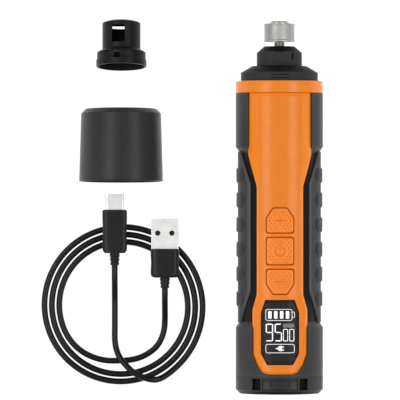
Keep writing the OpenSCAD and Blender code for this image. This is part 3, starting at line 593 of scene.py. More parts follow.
def make_housing(sizes, look):
    """The front shell, with its recess for the panel, and the rear shell with softened edges."""
    radius = shell_radius(sizes)
    low, high = mm(sizes.base_height), mm(sizes.collar_height)
    seam = FULL_R * math.pi / 2 - 0.04
    recess_r, mouth = 16.6, 13.3

    rims = ((0.0, None), (0.0, 0.3), (0.05, 0.1), (0.16, 0.0))
    panels = in_step([(panel_loop(-0.03 - push), drop) for push, drop in rims], 0.8)
    stacks = []
    for (push, drop), (panel, _) in zip(rims, panels):
        r_of = (lambda z: recess_r) if drop is None else (lambda z, d=drop: radius(z) - d)
        edge = 0.06 if push else 0.0
        left, right, foot, top = edge - seam, seam - edge, low + edge, high - edge
        sides = [(x, min(z, high)) for x, z in reversed(panel) if z <= high - 0.5 or abs(x) >= mouth]
        path = [(arc(x, r_of(z)), min(z, high - 0.001)) for x, z in sides]
        path[0], path[-1] = (path[0][0], top), (path[-1][0], top)
        corners = [(left, top), (left, foot), (right, foot), (right, top)]
        stacks.append((corners + path, lambda s, z, f=r_of: f(z)))

    heel, shoulder, taper = mm(sizes.heel_height), mm(sizes.shoulder_height), mm(sizes.taper_length)
    bends = ((heel, 16.5), (heel + taper, 16.5), (shoulder - taper, 20.5), (shoulder, 20.5))
    creases = [[(side * (seam - 0.3), z), (side * reach, z)] for z, reach in bends for side in (-1, 1)]
    # Painted shade: this material darkens the valley beside the panel, on both shells.
    mat = housing_plastic(look)
    shell = skin("front_housing", in_step(stacks), lambda s, z: radius(z), mat, "housing", lines=creases)
    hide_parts("front_shell")
    dress(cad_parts["rear_shell"], mat, 0.25)


def make_grips(sizes, look):
    """The two soft pads: a chamfer along the front in a lighter copy of the rubber as a painted highlight,
    cross ribs, and a pit at the foot of each rib.
    """
    grip, valley, edge = mm(sizes.grip_radius), mm(sizes.valley_radius), mm(sizes.pad_edge)
    low = mm(sizes.heel_height + sizes.taper_length) + 1
    high = mm(sizes.shoulder_height - sizes.taper_length) - 1
    rise, half, soft = mm(sizes.rib_height), mm(sizes.rib_length) / 2, 0.8
    count, end_gap = sizes.rib_count, 8.4
    first, last = low + end_gap, high - end_gap
    centres = [first + (last - first) * i / (count - 1) for i in range(count)]
    back = FULL_R * math.pi
    rib_s, rib_slope = arc(16.4, grip), 0.9
    pit_s, pit_d, pit_width, pit_length = arc(15.7, grip), 0.55, 0.55, 1.5

    def outline(push, end, r):
        """A pad's outline: narrow along the grip, and wider at the heel and the shoulder."""
        upper = [(3.8, 2.6 - end), (2.2, -5 - end * 0.4), (0, -12)]
        spots = [(x, high + z) for x, z in upper] + [(x, low - z) for x, z in reversed(upper)]
        front = [(arc(edge + x, r) + push, z) for x, z in spots]
        loop = front + [(back - s, z) for s, z in reversed(front)]
        return rounded(loop, [0.5, 2.5, 3, 3, 2.5, 0.5] * 2, n=4)

    def radius(s, z):
        s = min(abs(s), back - abs(s))
        across = min(1.0, max(0.0, (s - rib_s + rib_slope) / rib_slope))
        near = min(abs(z - c) for c in centres)
        along = min(1.0, max(0.0, (half + soft - near) / soft))
        pit = pit_d * math.exp(-(((s - pit_s) / pit_width) ** 2) - (near / pit_length) ** 4)
        return grip + rise * across * along - pit

    folds = (-half - soft, -half, half, half + soft)
    creases = [[(rib_s, c + k), (back - rib_s, c + k)] for c in centres for k in folds]
    edges = [
        (0, 0, valley - 0.1), (0, 0, valley + 0.12), (0.12, 0.1, valley + 0.25),
        (1.9, 0.75, grip - 0.1), (2.2, 0.95, grip),
    ]
    stack = in_step([(outline(push, end, r), r) for push, end, r in edges], 0.7)
    # Painted light: the pads carry painted shade, and the chamfer a lighter copy of the rubber as a painted
    # highlight.
    mat, bright = grip_rubber(look), grip_rubber(look, "grip_chamfer_painted_highlight", 1.6, None)
    for name, sign in (("grip_left", -1), ("grip_right", 1)):
        side = [([(sign * s, z) for s, z in loop][::sign], r) for loop, r in stack]
        lines = [[(sign * s, z) for s, z in line] for line in creases]
        pad = skin(name + "_pad", side, radius, mat, "housing", 0.5, lines=lines, sharp=28, rim=bright)
        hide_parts(name)


def make_panel(sizes, look):
    """The front panel: a soft edge, two shallow facets that follow its outline, and openings for the
    keys and the window. The facets are a lighter copy of the orange, as a painted highlight, and the face a
    darker copy with painted shade towards its edge."""
    top = mm(sizes.panel_radius)
    foot = top - mm(sizes.panel_thickness)
    facets = [
        (0, 0, 0, 0, foot), (0, 0, 0, 0, top - 0.42), (0.05, 0.04, 0, 0, top - 0.3),
        (0.17, 0.13, 0, 0, top - 0.24), (1.35, 0.5, 0, -0.8, top - 0.03), (1.45, 0.56, 0, -0.8, top - 0.01),
        (1.95, 1.2, 1.7, -1.0, top + 0.17), (2.15, 1.4, 1.7, -1.0, top),
    ]
    stack = wall([(panel_loop(*push), r) for *push, r in facets])
    key_rim = ((-0.15, foot), (-0.15, top - 0.35), (-0.22, top - 0.12), (-0.42, top))
    holes = [
        wall([(key_loop(kind, sizes, push), r) for push, r in key_rim], 0.7)
        for kind in ("plus", "power", "minus")
    ]
    lens_rim = ((-0.05, foot), (-0.05, top - 0.3), (-0.12, top - 0.1), (-0.32, top))
    holes.append(wall([(lens_loop(push), r) for push, r in lens_rim], 0.7))
    # Painted light: the face is a darker copy with painted shade near its edge, and the facets a lighter copy
    # as a painted highlight.
    face = orange_plastic(look, "orange_face_painted_shade", 0.96, 0.25, (17.6, 17.95, 0.8))
    panel = skin(
        "orange_panel", stack, lambda s, z: top, face, "housing", holes=holes, sharp=9,
        rim=orange_plastic(look, "orange_facet_painted_highlight", 1.04), rim_from=2,
    )
    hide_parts("front_panel")


def sign_gap(kind, x, z):
    """How far a point on a key lies from the middle of its sign's strokes."""
    ring_r, ring_gap, bar_low, bar_high, half = 2.1, 0.85, 0.5, 2.9, 2.0
    if kind == "power":
        bar = math.hypot(x, z - min(bar_high, max(bar_low, z)))
        return bar if z > 0 and abs(x) < ring_gap else min(bar, abs(math.hypot(x, z) - ring_r))
    dash = math.hypot(x - min(half, max(-half, x)), z)
    return dash if kind == "minus" else min(dash, math.hypot(x, z - min(half, max(-half, z))))


def key_dots(kind, sizes, centre):
    """The pits in rows on a key's face, clear of its edge and its sign."""
    pitch, edge = mm(sizes.dot_pitch), key_loop(kind, sizes, 0.95)
    row_pitch, rim_room, sign_room = pitch * 0.82, 0.3, 1.0
    rim = np.array(edge)
    dots = []
    for row in range(-4, 5):
        z = row * row_pitch
        for col in range(-5, 6):
            x = (col + 0.5 * (row % 2)) * pitch
            at = np.array([[x, centre + z]])
            clear = ((rim - at) ** 2).sum(1).min() > rim_room and sign_gap(kind, x, z) > sign_room
            if clear and inside(at, edge)[0]:
                dots.append((x, z))
    return np.array(dots)


def make_keys(sizes, look):
    """Three soft keys, each with rows of small pits round a sign grooved into its face. Painted shade darkens
    the pits and the grooves.
    """
    face, middle, pitch = mm(sizes.key_radius), mm(sizes.key_middle), mm(sizes.key_pitch)
    pit_d, pit_spread, groove_d, groove_half, groove_soft = 0.3, 0.1, 0.2, 0.36, 0.05
    for kind, centre in (("plus", middle + pitch), ("power", middle), ("minus", middle - pitch)):
        dots = key_dots(kind, sizes, centre)

        def radius(s, z, kind=kind, centre=centre, dots=dots):
            x, h = face * math.sin(s / FULL_R), z - centre
            pit = pit_d * math.exp(-((dots - (x, h)) ** 2).sum(1).min() / pit_spread)
            groove = groove_d / (1 + math.exp((sign_gap(kind, x, h) - groove_half) / groove_soft))
            return face - pit - groove

        edges = ((0, 3.2), (0, 0.75), (0.12, 0.36), (0.34, 0.1), (0.62, 0.01), (0.75, 0))
        stack = wall([(key_loop(kind, sizes, push), face - drop) for push, drop in edges], 0.6)
        cap = skin("cap_" + kind, stack, radius, key_rubber(look), kind + "_key", 0.21, sharp=60)
        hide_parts("key_" + kind)


# ---------- Display ----------


def display_boxes():
    """Where the lit outlines lie, as rounded boxes."""
    return box_loop(-6.15, 32.05, 5.25, 36.85, 0.95), box_loop(-6.15, 18.05, 6.25, 21.75, 0.95)


def digit_strokes(x0, y0, x1, y1, lit, slant):
    """The strokes of a seven-segment digit. lit names them: top, middle, bottom, and the four sides."""
    m, g = (y0 + y1) / 2, slant
    places = {
        "t": [(x0 + g, y1), (x1 - g, y1)], "m": [(x0 + g, m), (x1 - g, m)],
        "b": [(x0 + g * 0.3, y0), (x1 - g, y0)],
        "l": [(x0, y1), (x0, m + 0.1)], "L": [(x0, m - 0.1), (x0, y0)],
        "r": [(x1, y1), (x1, m + 0.1)], "R": [(x1, m - 0.1), (x1, y0)],
    }
    return [places[key] for key in lit]


def ribbon(points, width, closed=True):
    """The quads of a flat ribbon along a path, with mitred corners."""
    n = len(points)
    sides = []
    for i, b in enumerate(points):
        b = Vector(b)
        a = Vector(points[i - 1]) if closed or i else b
        c = Vector(points[(i + 1) % n]) if closed or i < n - 1 else b
        u = (b - a).normalized() if b != a else (c - b).normalized()
        v = (c - b).normalized() if c != b else u
        normal = Vector((-(u + v).y, (u + v).x)).normalized()
        reach = width / 2 / max(0.35, normal.dot(Vector((-u.y, u.x))))
        sides.append((b + normal * reach, b - normal * reach))
    pairs = [(sides[i], sides[(i + 1) % n]) for i in range(n if closed else n - 1)]
    return [[tuple(b), tuple(d), tuple(c), tuple(a)] for (a, b), (c, d) in pairs]


def display_marks():
    """The battery with its bars, the four digits, and the plug sign in its box, as flat shapes."""
    battery, sign_box = display_boxes()
    shapes = ribbon(battery, 0.19)
    knob = [(5.35, 33.4), (6.05, 33.4), (6.35, 33.8), (6.35, 35.3), (6.05, 35.7), (5.35, 35.7)]
    shapes += ribbon(knob, 0.17, closed=False)
    shapes += [box_loop(x + 0.12, 32.9, x + 1.55, 36.05, 0.16) for x in (-5.2, -2.65, -0.1, 2.45)]
    digits = (
        (-5.9, 23.25, -3.2, 30.45, "tlmrRb", 0.35, 0.44), (-2.05, 23.25, 0.65, 30.45, "tlmRb", 0.35, 0.44),
        (1.5, 23.2, 3.35, 28.2, "tlrLRb", 0.15, 0.27), (4.2, 23.2, 6.05, 28.2, "tlrLRb", 0.15, 0.27),
    )
    for *digit, width in digits:
        for stroke in digit_strokes(*digit):
            shapes += ribbon(stroke, width, closed=False)
    shapes += ribbon(sign_box, 0.19)
    shapes.append([(-1.95, 20.07), (-1.95, 19.77), (-1.0, 19.77), (-1.0, 20.07)])
    shapes.append([
        (-1.05, 19.55), (-0.35, 18.95), (0.6, 18.7), (0.9, 18.8),
        (0.9, 21.04), (0.6, 21.14), (-0.35, 20.89), (-1.05, 20.3),
    ])
    shapes += [[(0.9, y - 0.17), (1.8, y - 0.17), (1.8, y + 0.17), (0.9, y + 0.17)] for y in (20.56, 19.28)]
    return shapes


def flat_shapes(name, shapes, depth, material):
    """Flat shapes that face the front, at a height over the tool's axis."""
    verts, faces = [], []
    for shape in shapes:
        faces.append(tuple(range(len(verts), len(verts) + len(shape))))
        verts += [(x / 1000, (z - MID_Z) / 1000, (AXIS_H + depth) / 1000) for x, z in shape]
    return new_object(name, verts, faces, material, "housing")


def make_display(sizes, look):
    """The smoked window, the dark mask behind it and the lit marks."""
    top, mark_depth, mask_depth = mm(sizes.lens_radius), 14.55, 14.3
    edges = ((0, top - 1.2), (0, top - 0.25), (0.08, top - 0.06), (0.26, top))
    stack = wall([(lens_loop(push), r) for push, r in edges], 0.7)
    lens = skin("smoked_lens", stack, lambda s, z: top, window_glass(), "housing", step=1.0, sharp=50)
    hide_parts("display_lens")
    lit = glow("lit_mark", (1.0, 1.0, 1.0), 1.3)
    marks = flat_shapes("lit_marks", display_marks(), mark_depth, lit)
    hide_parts("display_segments")
    # Painted light: the unlit pill is made to shine faintly by itself, though it gives no light.
    unlit = glow("unlit_mark_painted_glow", (0.18, 0.18, 0.18), 0.75)
    pill = flat_shapes("unlit_pill", [box_loop(1.25, 28.95, 6.15, 30.7, 0.8)], mark_depth, unlit)
    dark = shader("mask", (0.018, 0.018, 0.019), 0.6, mottle=0.05)
    mask = flat_shapes("display_mask", [[(x * 1.01, z) for x, z in lens_loop(-0.3)]], mask_depth, dark)


# ---------- Nose, drum and base ----------


def rows(*parts, step=0.6):
    """Heights with a pair of close rows at each part's ends, so that a cut between them keeps square
    edges."""
    marks = sorted(parts)
    out = []
    for a, b in zip(marks, marks[1:]):
        n = max(1, math.ceil((b - a) / step))
        out += [a + 0.03] + [a + (b - a) * j / n for j in range(1, n)] + [b - 0.03]
    return [marks[0], *out, marks[-1]]


def turned(points, corners, n=3):
    """An open profile of (r, z) points with its corners rounded, except the ends."""
    return rounded(points, [0, *corners, 0], n, closed=False)


def make_nose(sizes, look):
    """The collar ring, the grooved ring under the dust cover, and the slotted collar under the nail
    guard."""
    low, high = mm(sizes.collar_height), mm(sizes.body_height)
    ring = turned([(15.2, low + 0.04), (FULL_R, low + 0.04), (FULL_R, high), (15.2, high)], (0.3, 0.75), 4)
    collar = lathe("orange_collar", ring, orange_plastic(look), "housing", sharp=50)
    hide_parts("collar_ring")

    seat, slope_z, groove_d, groove_w = mm(sizes.cover_seat_radius), high + 3.4, 0.35, 3.7
    grooves = [(high + 0.85, high + 1.25), (high + 2.35, high + 2.75)]
    body = [(15.0, high - 0.3), (seat, high - 0.3)]
    body += [(seat, z) for z in rows(high, *[z for pair in grooves for z in pair], slope_z, step=0.5)]
    slope = [(seat, slope_z + 0.02), (seat, high + 3.6), (11.95, high + 6.5), (9.3, high + 6.5)]
    body += turned(slope, (0.35, 0.3))

    def grooved(angle, z, r):
        angle = from_front(angle)
        in_groove = any(a < z < b for a, b in grooves) and abs(angle) < 90
        cut = in_groove and abs(r * math.sin(math.radians(angle))) < groove_w
        return r - groove_d if cut and r > seat - 0.1 else r

    # Painted shade: the ring darkens below its seat radius, so that its grooves and the slope above them look
    # shaded.
    mat = nose_plastic(look, "nose_ring_shell", (seat - 0.4, seat - 0.05, 0.25))
    base = lathe("nose_ring", body, mat, "housing", n=720, shape=grooved)
    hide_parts("nose_base")

    r1, z0, z1, z2, bore = mm(sizes.guard_seat_radius), high + 6.5, high + 12.3, high + 15.1, 4.4
    flat_drop, flat_half, slot_half, slot_d = 0.5, 30, 0.36, 0.8
    slot = (z1 - 3.4, z1 - 0.1)
    profile = [(8.5, z0)] + [(r1, z) for z in rows(z0, *slot, step=0.5)]
    profile += turned([(r1, z1 - 0.06), (r1, z1), (6.65, z2), (bore, z2), (bore, z2 - 0.5)], (0.3, 0.3, 0.12))

    def slotted(angle, z, r):
        angle = from_front(angle)
        if abs(angle) < flat_half and z < z1 + 0.5:
            r = min(r, (r1 - flat_drop) / math.cos(math.radians(angle)))
        for turn in (35, -145):
            off = math.radians(from_front(angle - turn)) * r
            if abs(off) < slot_half and slot[0] < z < slot[1]:
                r -= slot_d
        return r

    # Painted shade: the collar darkens inside its seat radius, so that its slots, its front flat and its top
    # slope look shaded.
    mat = nose_plastic(look, "nose_cup_shell", (r1 - 0.8, r1 - 0.55, 0.25))
    collar = lathe("nose_cup", profile, mat, "housing", n=1080, shape=slotted, sharp=25)
    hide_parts("nose_collar")
    dress(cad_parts["nose_seal"], shader("seal", (0.01, 0.01, 0.01), 0.6, mottle=0.1))


def make_drum(sizes, look):
    """The grinding drum on its shank: a gritty sleeve between two bright rims, and a turned cap."""
    r, low, high = mm(sizes.drum_radius), mm(sizes.drum_bottom), mm(sizes.drum_bottom + sizes.drum_height)
    hub, worn = r - 1.2, r - 0.16
    profile = turned([
        (hub, low + 0.02), (r, low), (r, low + 0.55), (worn, low + 0.8),
        (worn, high - 0.8), (r, high - 0.55), (r, high), (hub, high - 0.02),
    ], (0.1, 0.1, 0.2, 0.2, 0.1, 0.1))
    sleeve = lathe("grit_sleeve", profile, grit(), "spindle", n=128)
    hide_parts("drum_sleeve")
    profile = turned([
        (0.05, high), (4.05, high), (4.0, high + 0.75), (3.65, high + 1.1),
        (1.5, high + 1.1), (1.3, high + 0.9), (0.05, high + 0.9),
    ], (0.1, 0.2, 0.15, 0.05, 0.05))
    cap = lathe("drum_end", profile, steel("turned_cap", 0.5, (0.62, 0.62, 0.61)), "spindle", n=96)
    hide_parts("drum_cap")
    dress(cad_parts["drum_hub"], steel("turned_hub", 0.35, (0.5, 0.5, 0.49)))
    chuck = steel("turned_chuck", 0.45, (0.26, 0.255, 0.25), (14.0, 1.0, 14.0))
    for node in ("drum_shank", "chuck_sleeve"):
        dress(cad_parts[node], chuck, 0.08)


def port_loop(half_w, half_h, z):
    """The outline of the charging port at a height, in world positions."""
    loop = box_loop(-half_w, -half_h, half_w, half_h, half_h * 0.98, n=8)
    return [place(FULL_R * math.atan2(x, up), z, math.hypot(x, up)) for x, up in loop]


def make_base(sizes, look):
    """The base cap: a chamfered end with the charging port, four notches, and raised blocks between
    them. The port's socket is seen in it."""
    high, chamfer = mm(sizes.base_height), mm(sizes.base_chamfer)
    notch, block, side = (chamfer + 0.05, high - 0.55), (2.4, 5.6), (chamfer + 0.3, high - 0.4)
    notch_at, notch_half, notch_d = 33, 2.2, 1.3
    side_from, side_to, side_d = 41, 69, 0.1
    block_half, block_d, step_from, step_d, front_half, front_d = 7.6, 0.32, 4.6, 0.02, 8.0, 0.45
    end = turned([(0.05, 0), (FULL_R - chamfer, 0), (FULL_R, chamfer), (FULL_R, chamfer + 0.02)], (0.3, 0))
    profile = end + [(FULL_R, z) for z in rows(*notch, *block, *side, step=0.8)]
    profile += [(FULL_R, high - 0.15), (FULL_R - 0.15, high), (13.4, high), (13.4, 2.5)]
    profile += [(0.05, 2.5), (0.05, 0)]

    def notched(angle, z, r):
        if r < FULL_R - 0.01:
            return r
        angle = abs(from_front(angle))
        back = angle > 90
        off = math.radians(180 - angle if back else angle) * r
        if notch[0] < z < notch[1] and abs(off - math.radians(notch_at) * r) < notch_half:
            return r - notch_d
        if back:
            return r
        if side[0] < z < side[1] and math.radians(side_from) * r < off < math.radians(side_to) * r:
            return r - side_d
        if block[0] < z < block[1] and off < block_half:
            return r - (step_d if off > step_from else block_d)
        return r - (front_d if notch[0] < z < notch[1] and off < front_half else 0.0)

    # Painted shade: the base darkens below 18.95 mm from the axis, so that its notches, the field round its
    # blocks and its chamfer look shaded.
    mat = housing_plastic(look, "base_shell", (18.2, 18.95, 0.1))
    cap = lathe("base_end", profile, mat, "housing", n=1080, shape=notched, sharp=25)
    wide, tall, flare = 4.62, 1.78, 0.5
    outline = ((wide + flare, tall + flare, -0.2), (wide, tall, 0.3), (wide, tall, 3))
    cut_out(cap, [tube("port", [port_loop(*at) for at in outline], mat, None)])
    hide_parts("base_cap")
    wide, tall, inner_w, inner_h, soft = 4.47, 1.63, 4.12, 1.28, 0.1
    outline = (
        (inner_w, inner_h, 6.9), (inner_w, inner_h, 0.5), (inner_w + soft, inner_h + soft, 0.4),
        (wide - soft, tall - soft, 0.4), (wide, tall, 0.5), (wide, tall, 7.7),
    )
    mat = shader("port_steel", (0.6, 0.6, 0.6), 0.26, metallic=1.0, grain=(0.3, 0.002), mottle=0.1)
    socket = tube("port_shell", [port_loop(*at) for at in outline], mat, "housing")
    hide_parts("usb_socket")


# ---------- Covers ----------


def lying(spot, low_r, high_r, high_z):
    """Places for a cap that lies on its flank, with its mouth towards the base of the tool."""
    tilt = math.atan((low_r - high_r) / high_z)
    sin, cos = math.sin(tilt), math.cos(tilt)

    def put(s, z, r):
        x, up = r * math.sin(s / FULL_R), r * math.cos(s / FULL_R)
        y = spot[1] - high_z / 2 + up * sin + z * cos
        return ((spot[0] + x) / 1000, y / 1000, (low_r * cos + 0.05 + up * cos - z * sin) / 1000)

    return put


def make_guard(sizes, look):
    """The nail guard: a lipped skirt, a domed cup, a nail window, a look-through slot and three openings
    in the skirt."""
    seat, top, skirt, cup, full = mm(sizes.guard_seat_radius) + 0.15, 8.35, 6.2, 19.3, 20.6
    lip = seat + 1
    outer = turned([
        (lip, 0), (lip, 2.9), (lip - 0.35, 3.1), (lip - 0.35, skirt), (top, skirt + 1.4), (top, cup),
        (top * 0.75, full - 0.58), (top * 0.45, full - 0.15), (0.02, full),
    ], (0.3, 0.2, 0.3, 0.5, 0.6, 1, 1))
    inner = [
        (0.02, cup - 1), (top - 1, cup - 1), (top - 1, skirt + 1.3), (seat, skirt - 0.2),
        (seat, 0.25), (seat + 0.25, 0), (lip - 0.2, 0),
    ]
    put = lying((-69, 83), lip, top, cup)
    mat = cover_plastic("guard_shell", look.guard, 0.12)
    profile = [(lip - 0.2, 0), (lip, 0.2), *outer[1:], *inner]
    guard = lathe("guard_cup", profile, mat, "guard", n=120, put=put, sharp=25)

    def bar(name, x0, z0, x1, z1, r, near, far):
        """A straight bar through the guard's wall, from near to far in front of its middle."""
        loop = box_loop(x0, z0, x1, z1, r, n=3)
        ends = [
            [put(FULL_R * math.atan2(x, depth), z, math.hypot(x, depth)) for x, z in loop]
            for depth in (near, far)
        ]
        return tube(name, ends, mat, None)

    cut_out(guard, [
        bar("window", -4.1, 9.9, 1.5, 17.5, 0.7, 2, 12), bar("slot", -4.1, 18.0, 1.5, 19.6, 0.2, -12, -2.5),
        bar("notch", -3.2, 2.5, -0.4, 5.1, 0.15, 5, 14), bar("gap", -7.3, 5.6, -3.2, 6.1, 0.05, 5, 14),
        bar("gap", 0.1, 5.6, 5.8, 6.1, 0.05, 5, 14),
    ])
    dress(guard, mat, 0.12, 25)
    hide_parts("nail_guard")


def make_cover(look):
    """The dust cover: a tapered cup with a chamfered end, lying on its flank."""
    low, high, tall, wall_t, chamfer = 18.25, 17.4, 31.6, 1.3, 2.0
    outer = turned([
        (low - 0.3, 0), (low, 0.3), (high, tall - chamfer), (high - chamfer, tall), (0.02, tall),
    ], (0.3, 0.35, 0.5))
    inner = [
        (0.02, tall - wall_t), (high - chamfer, tall - wall_t), (high - wall_t, tall - chamfer - wall_t / 2),
        (low - wall_t, 5.6), (low - wall_t, 0.2), (low - wall_t + 0.2, 0), (low - 0.3, 0),
    ]
    put = lying((-69, 38), low, high, tall - chamfer)
    mat = cover_plastic("cover_shell", look.cover, 0.22)
    cup = lathe("cover_cup", outer + inner, mat, "cover", n=240, put=put, sharp=30)
    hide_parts("dust_cover")


# ---------- Charging lead ----------

COIL_AT = (-69.0, -31.5)
C_END = (-72.0, -13.5, 5.6)
A_END = (-50.0, -23.5, 6.6)
TO_COIL = [
    C_END, (-72, -16.5, 5.6), (-72, -20, 4.9), (-72, -24.5, 3.4), (-72, -29, 2), (-72, -34, 1.4),
    (-72, -40, 1.4), (-72, -46, 1.5), (-71.3, -50.5, 2.2), (-69.5, -54.5, 3.4), (-66.5, -58, 4.2),
    (-63, -61, 4.3), (-57, -63.5, 4.3),
]
FROM_COIL = [
    (-65, -55.1, 1.4), (-61, -54.1, 1.4), (-57.4, -52.3, 1.4), (-54.2, -49.8, 1.4), (-51.9, -46.5, 1.4),
    (-50.4, -42, 1.4), (-50, -37, 2.3), (-50, -32, 4.4), (-50, -26.5, 6.6), A_END,
]


def smooth_line(points, step):
    """A smooth curve through the points, cut into equal steps, and its length."""
    cuts = 24
    fine = []
    for i in range(len(points) - 1):
        a, b, c, d = (Vector(points[max(0, min(len(points) - 1, j))]) for j in (i - 1, i, i + 1, i + 2))
        bend, twist = 2 * a - 5 * b + 4 * c - d, 3 * b - a - 3 * c + d
        for k in range(cuts):
            t = k / cuts
            fine.append(0.5 * (2 * b + (c - a) * t + bend * t * t + twist * t ** 3))
    fine.append(Vector(points[-1]))
    run = [0.0]
    for a, b in zip(fine, fine[1:]):
        run.append(run[-1] + (b - a).length)
    out = []
    for f in np.interp(np.linspace(0, run[-1], round(run[-1] / step) + 1), run, range(len(fine))):
        i = min(int(f), len(fine) - 2)
        out.append(fine[i].lerp(fine[i + 1], f - i))
    return out, run[-1]


def lead_line(lead):
    """The lead's middle line: from the small plug over the coil, round its turns, and up to the large
    plug. The coil's first two points come down from the hump over the crossing."""
    half = mm(lead.diameter) / 2
    start, end, turn, ease, draw_in = -61, 989, 15, 75, 3.0
    lift = {0: 1.5, 1: 0.2}
    coil = []
    for k in range(1 + (end - start) // turn):
        a = start + turn * k
        inward = min(1.0, max(0.0, (a - end + 60) / ease))
        inward = draw_in * inward * inward * (3 - 2 * inward)
        r = mm(lead.coil_radius) - mm(lead.coil_pitch) * (a - start) / 360 - inward
        across, along = r * math.cos(math.radians(a)), r * math.sin(math.radians(a))
        coil.append((COIL_AT[0] + across, COIL_AT[1] + along, half + lift.get(k, 0.0)))
    return smooth_line(TO_COIL + coil + FROM_COIL, 1.0)


def plug_body(name, at, relief, size, mat, waist):
    """An overmoulded plug along +Y: a ribbed strain relief, a soft shoulder and a flat housing with a
    thumb recess."""
    r, ribs, n = 1.35, 3, 56
    w, tall, h = size[0] / 2, size[1], size[2] / 2
    sections = [(0.0, r + 0.35, r + 0.35, 2.0)]
    for i in range(ribs):
        grow = r + 0.55 + 0.45 * i / ribs
        for part, more in ((0.15, 0), (0.62, 0.1), (0.72, -0.12), (0.98, -0.1)):
            sections.append((relief * (i + part) / ribs, grow + more, grow + more, 2.0))
    neck = r + 0.9
    for t, k in ((0.0, 0.62), (0.015, 0.78), (0.045, 0.9), (0.09, 0.97), (0.15, 1.0)):
        sections.append((relief + tall * t, neck + (w - neck) * k, neck + (h - neck) * k, 3.4))
    for t in (0.25, 0.4, 0.55, 0.7, 0.8, 0.9, 0.96):
        dip = waist * math.exp(-(((t - 0.5) / 0.18) ** 2))
        sections.append((relief + tall * t, w - dip, h - dip * 0.6, 4.2))
    sections += [(relief + tall * 0.985, w - 0.12, h - 0.12, 4.2), (relief + tall, w - 0.45, h - 0.45, 4.2)]
    loops = []
    for y, a, b, power in sections:
        loop = []
        for i in range(n):
            c, s = math.cos(2 * math.pi * i / n), math.sin(2 * math.pi * i / n)
            x = math.copysign(abs(c) ** (2 / power), c) * a
            z = math.copysign(abs(s) ** (2 / power), s) * b
            loop.append(((at[0] + x) / 1000, (at[1] + y) / 1000, (at[2] + z) / 1000))
        loops.append(loop)
    return tube(name, loops, mat, "lead")


def make_lead(lead):
    """The charging lead, its coil and its two plugs."""
    points, run = lead_line(lead)
    curve = bpy.data.curves.new("charging_lead", "CURVE")
    curve.dimensions = "3D"
    curve.bevel_depth = lead.diameter / 2
    curve.bevel_resolution = 5
    curve.use_fill_caps = True
    spline = curve.splines.new("POLY")
    spline.points.add(len(points) - 1)
    for p, v in zip(spline.points, points):
        p.co = (v.x / 1000, v.y / 1000, v.z / 1000, 1.0)
    cord = bpy.data.objects.new("charging_lead", curve)
    bpy.context.scene.collection.objects.link(cord)
    jacket = shader("lead_jacket", (0.009, 0.009, 0.010), 0.24, grain=(0.5, 0.002), mottle=0.15, spec=0.25)
    curve.materials.append(jacket)
    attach(cord, "lead")
    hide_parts("lead_coil", "lead_to_c", "lead_to_a")
    black = (0.015, 0.015, 0.016)
    mat = shader("plug_shell", black, 0.3, grain=(0.3, 0.003), mottle=0.15, edge=0.3, spec=0.2)
    c_plug = plug_body("c_plug_grip", C_END, 5.3, (10.9, 19.0, 5.6), mat, 0.25)
    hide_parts("c_plug_body")
    a_plug = plug_body("a_plug_grip", A_END, 4.6, (12.6, 12.6, 7.6), mat, 0.2)
    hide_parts("a_plug_body")
    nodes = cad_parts
    bright = shader(
        "plug_steel", (0.95, 0.95, 0.94), 0.42, metallic=0.8, grain=(0.5, 0.002), mottle=0.12,
        brushed=(14.0, 1.0, 14.0),
    )
    dress(nodes["c_plug_shell"], bright, 0.1)
    dress(nodes["a_plug_shell"], bright, 0.1)
    # Painted shade: the insulator is coloured near black, so that the plug's holes, through which it is seen,
    # look shaded.
    dress(nodes["a_plug_insulator"], shader("insulator", (0.07, 0.035, 0.022), 0.5, mottle=0.1))


# ---------- Inside ----------

INNER = {
    "circuit_board": (("main_board", "charge_board"), (0.02, 0.16, 0.07), 0.35, 0.0),
    "black_part": (
        ("display_module", "usb_socket_tongue", "switch_housings", "motor_sleeve"),
        (0.02, 0.02, 0.02), 0.45, 0.0,
    ),
    "cell_wrap": (("battery_cell",), (0.05, 0.16, 0.4), 0.3, 0.0),
    "bare_steel": (
        ("battery_tabs", "motor_can", "motor_shaft", "motor_screws", "bearing_outer", "bearing_inner",
         "bearing_balls", "board_screws"), (0.6, 0.6, 0.6), 0.28, 1.0,
    ),
    "pale_part": (
        ("battery_tray", "motor_bracket", "stem_plus", "stem_power", "stem_minus"),
        (0.8, 0.78, 0.72), 0.45, 0.0,
    ),
    "wire_jacket": (("battery_leads", "motor_leads", "charge_leads"), (0.45, 0.03, 0.02), 0.4, 0.0),
    "green_part": (("motor_end_cap",), (0.03, 0.08, 0.05), 0.45, 0.0),
    "magnet": (("motor_magnets",), (0.08, 0.08, 0.08), 0.5, 0.6),
    "winding": (("motor_armature",), (0.5, 0.2, 0.08), 0.35, 1.0),
    "brass_part": (("motor_bushes", "motor_terminals"), (0.6, 0.42, 0.15), 0.3, 1.0),
    "black_screw": (("housing_screws",), (0.06, 0.06, 0.06), 0.35, 1.0),
}


def make_inside():
    """The finish of the motor, the battery, the boards and the fasteners. INNER gives each finish its
    nodes, colour, roughness and metal."""
    for name, (nodes, rgb, rough, metallic) in INNER.items():
        mat = shader(name, rgb, rough, metallic=metallic, grain=(0.4, 0.003), mottle=0.12)
        for node in nodes:
            dress(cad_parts[node], mat, 0.0)


# ---------- Stage ----------


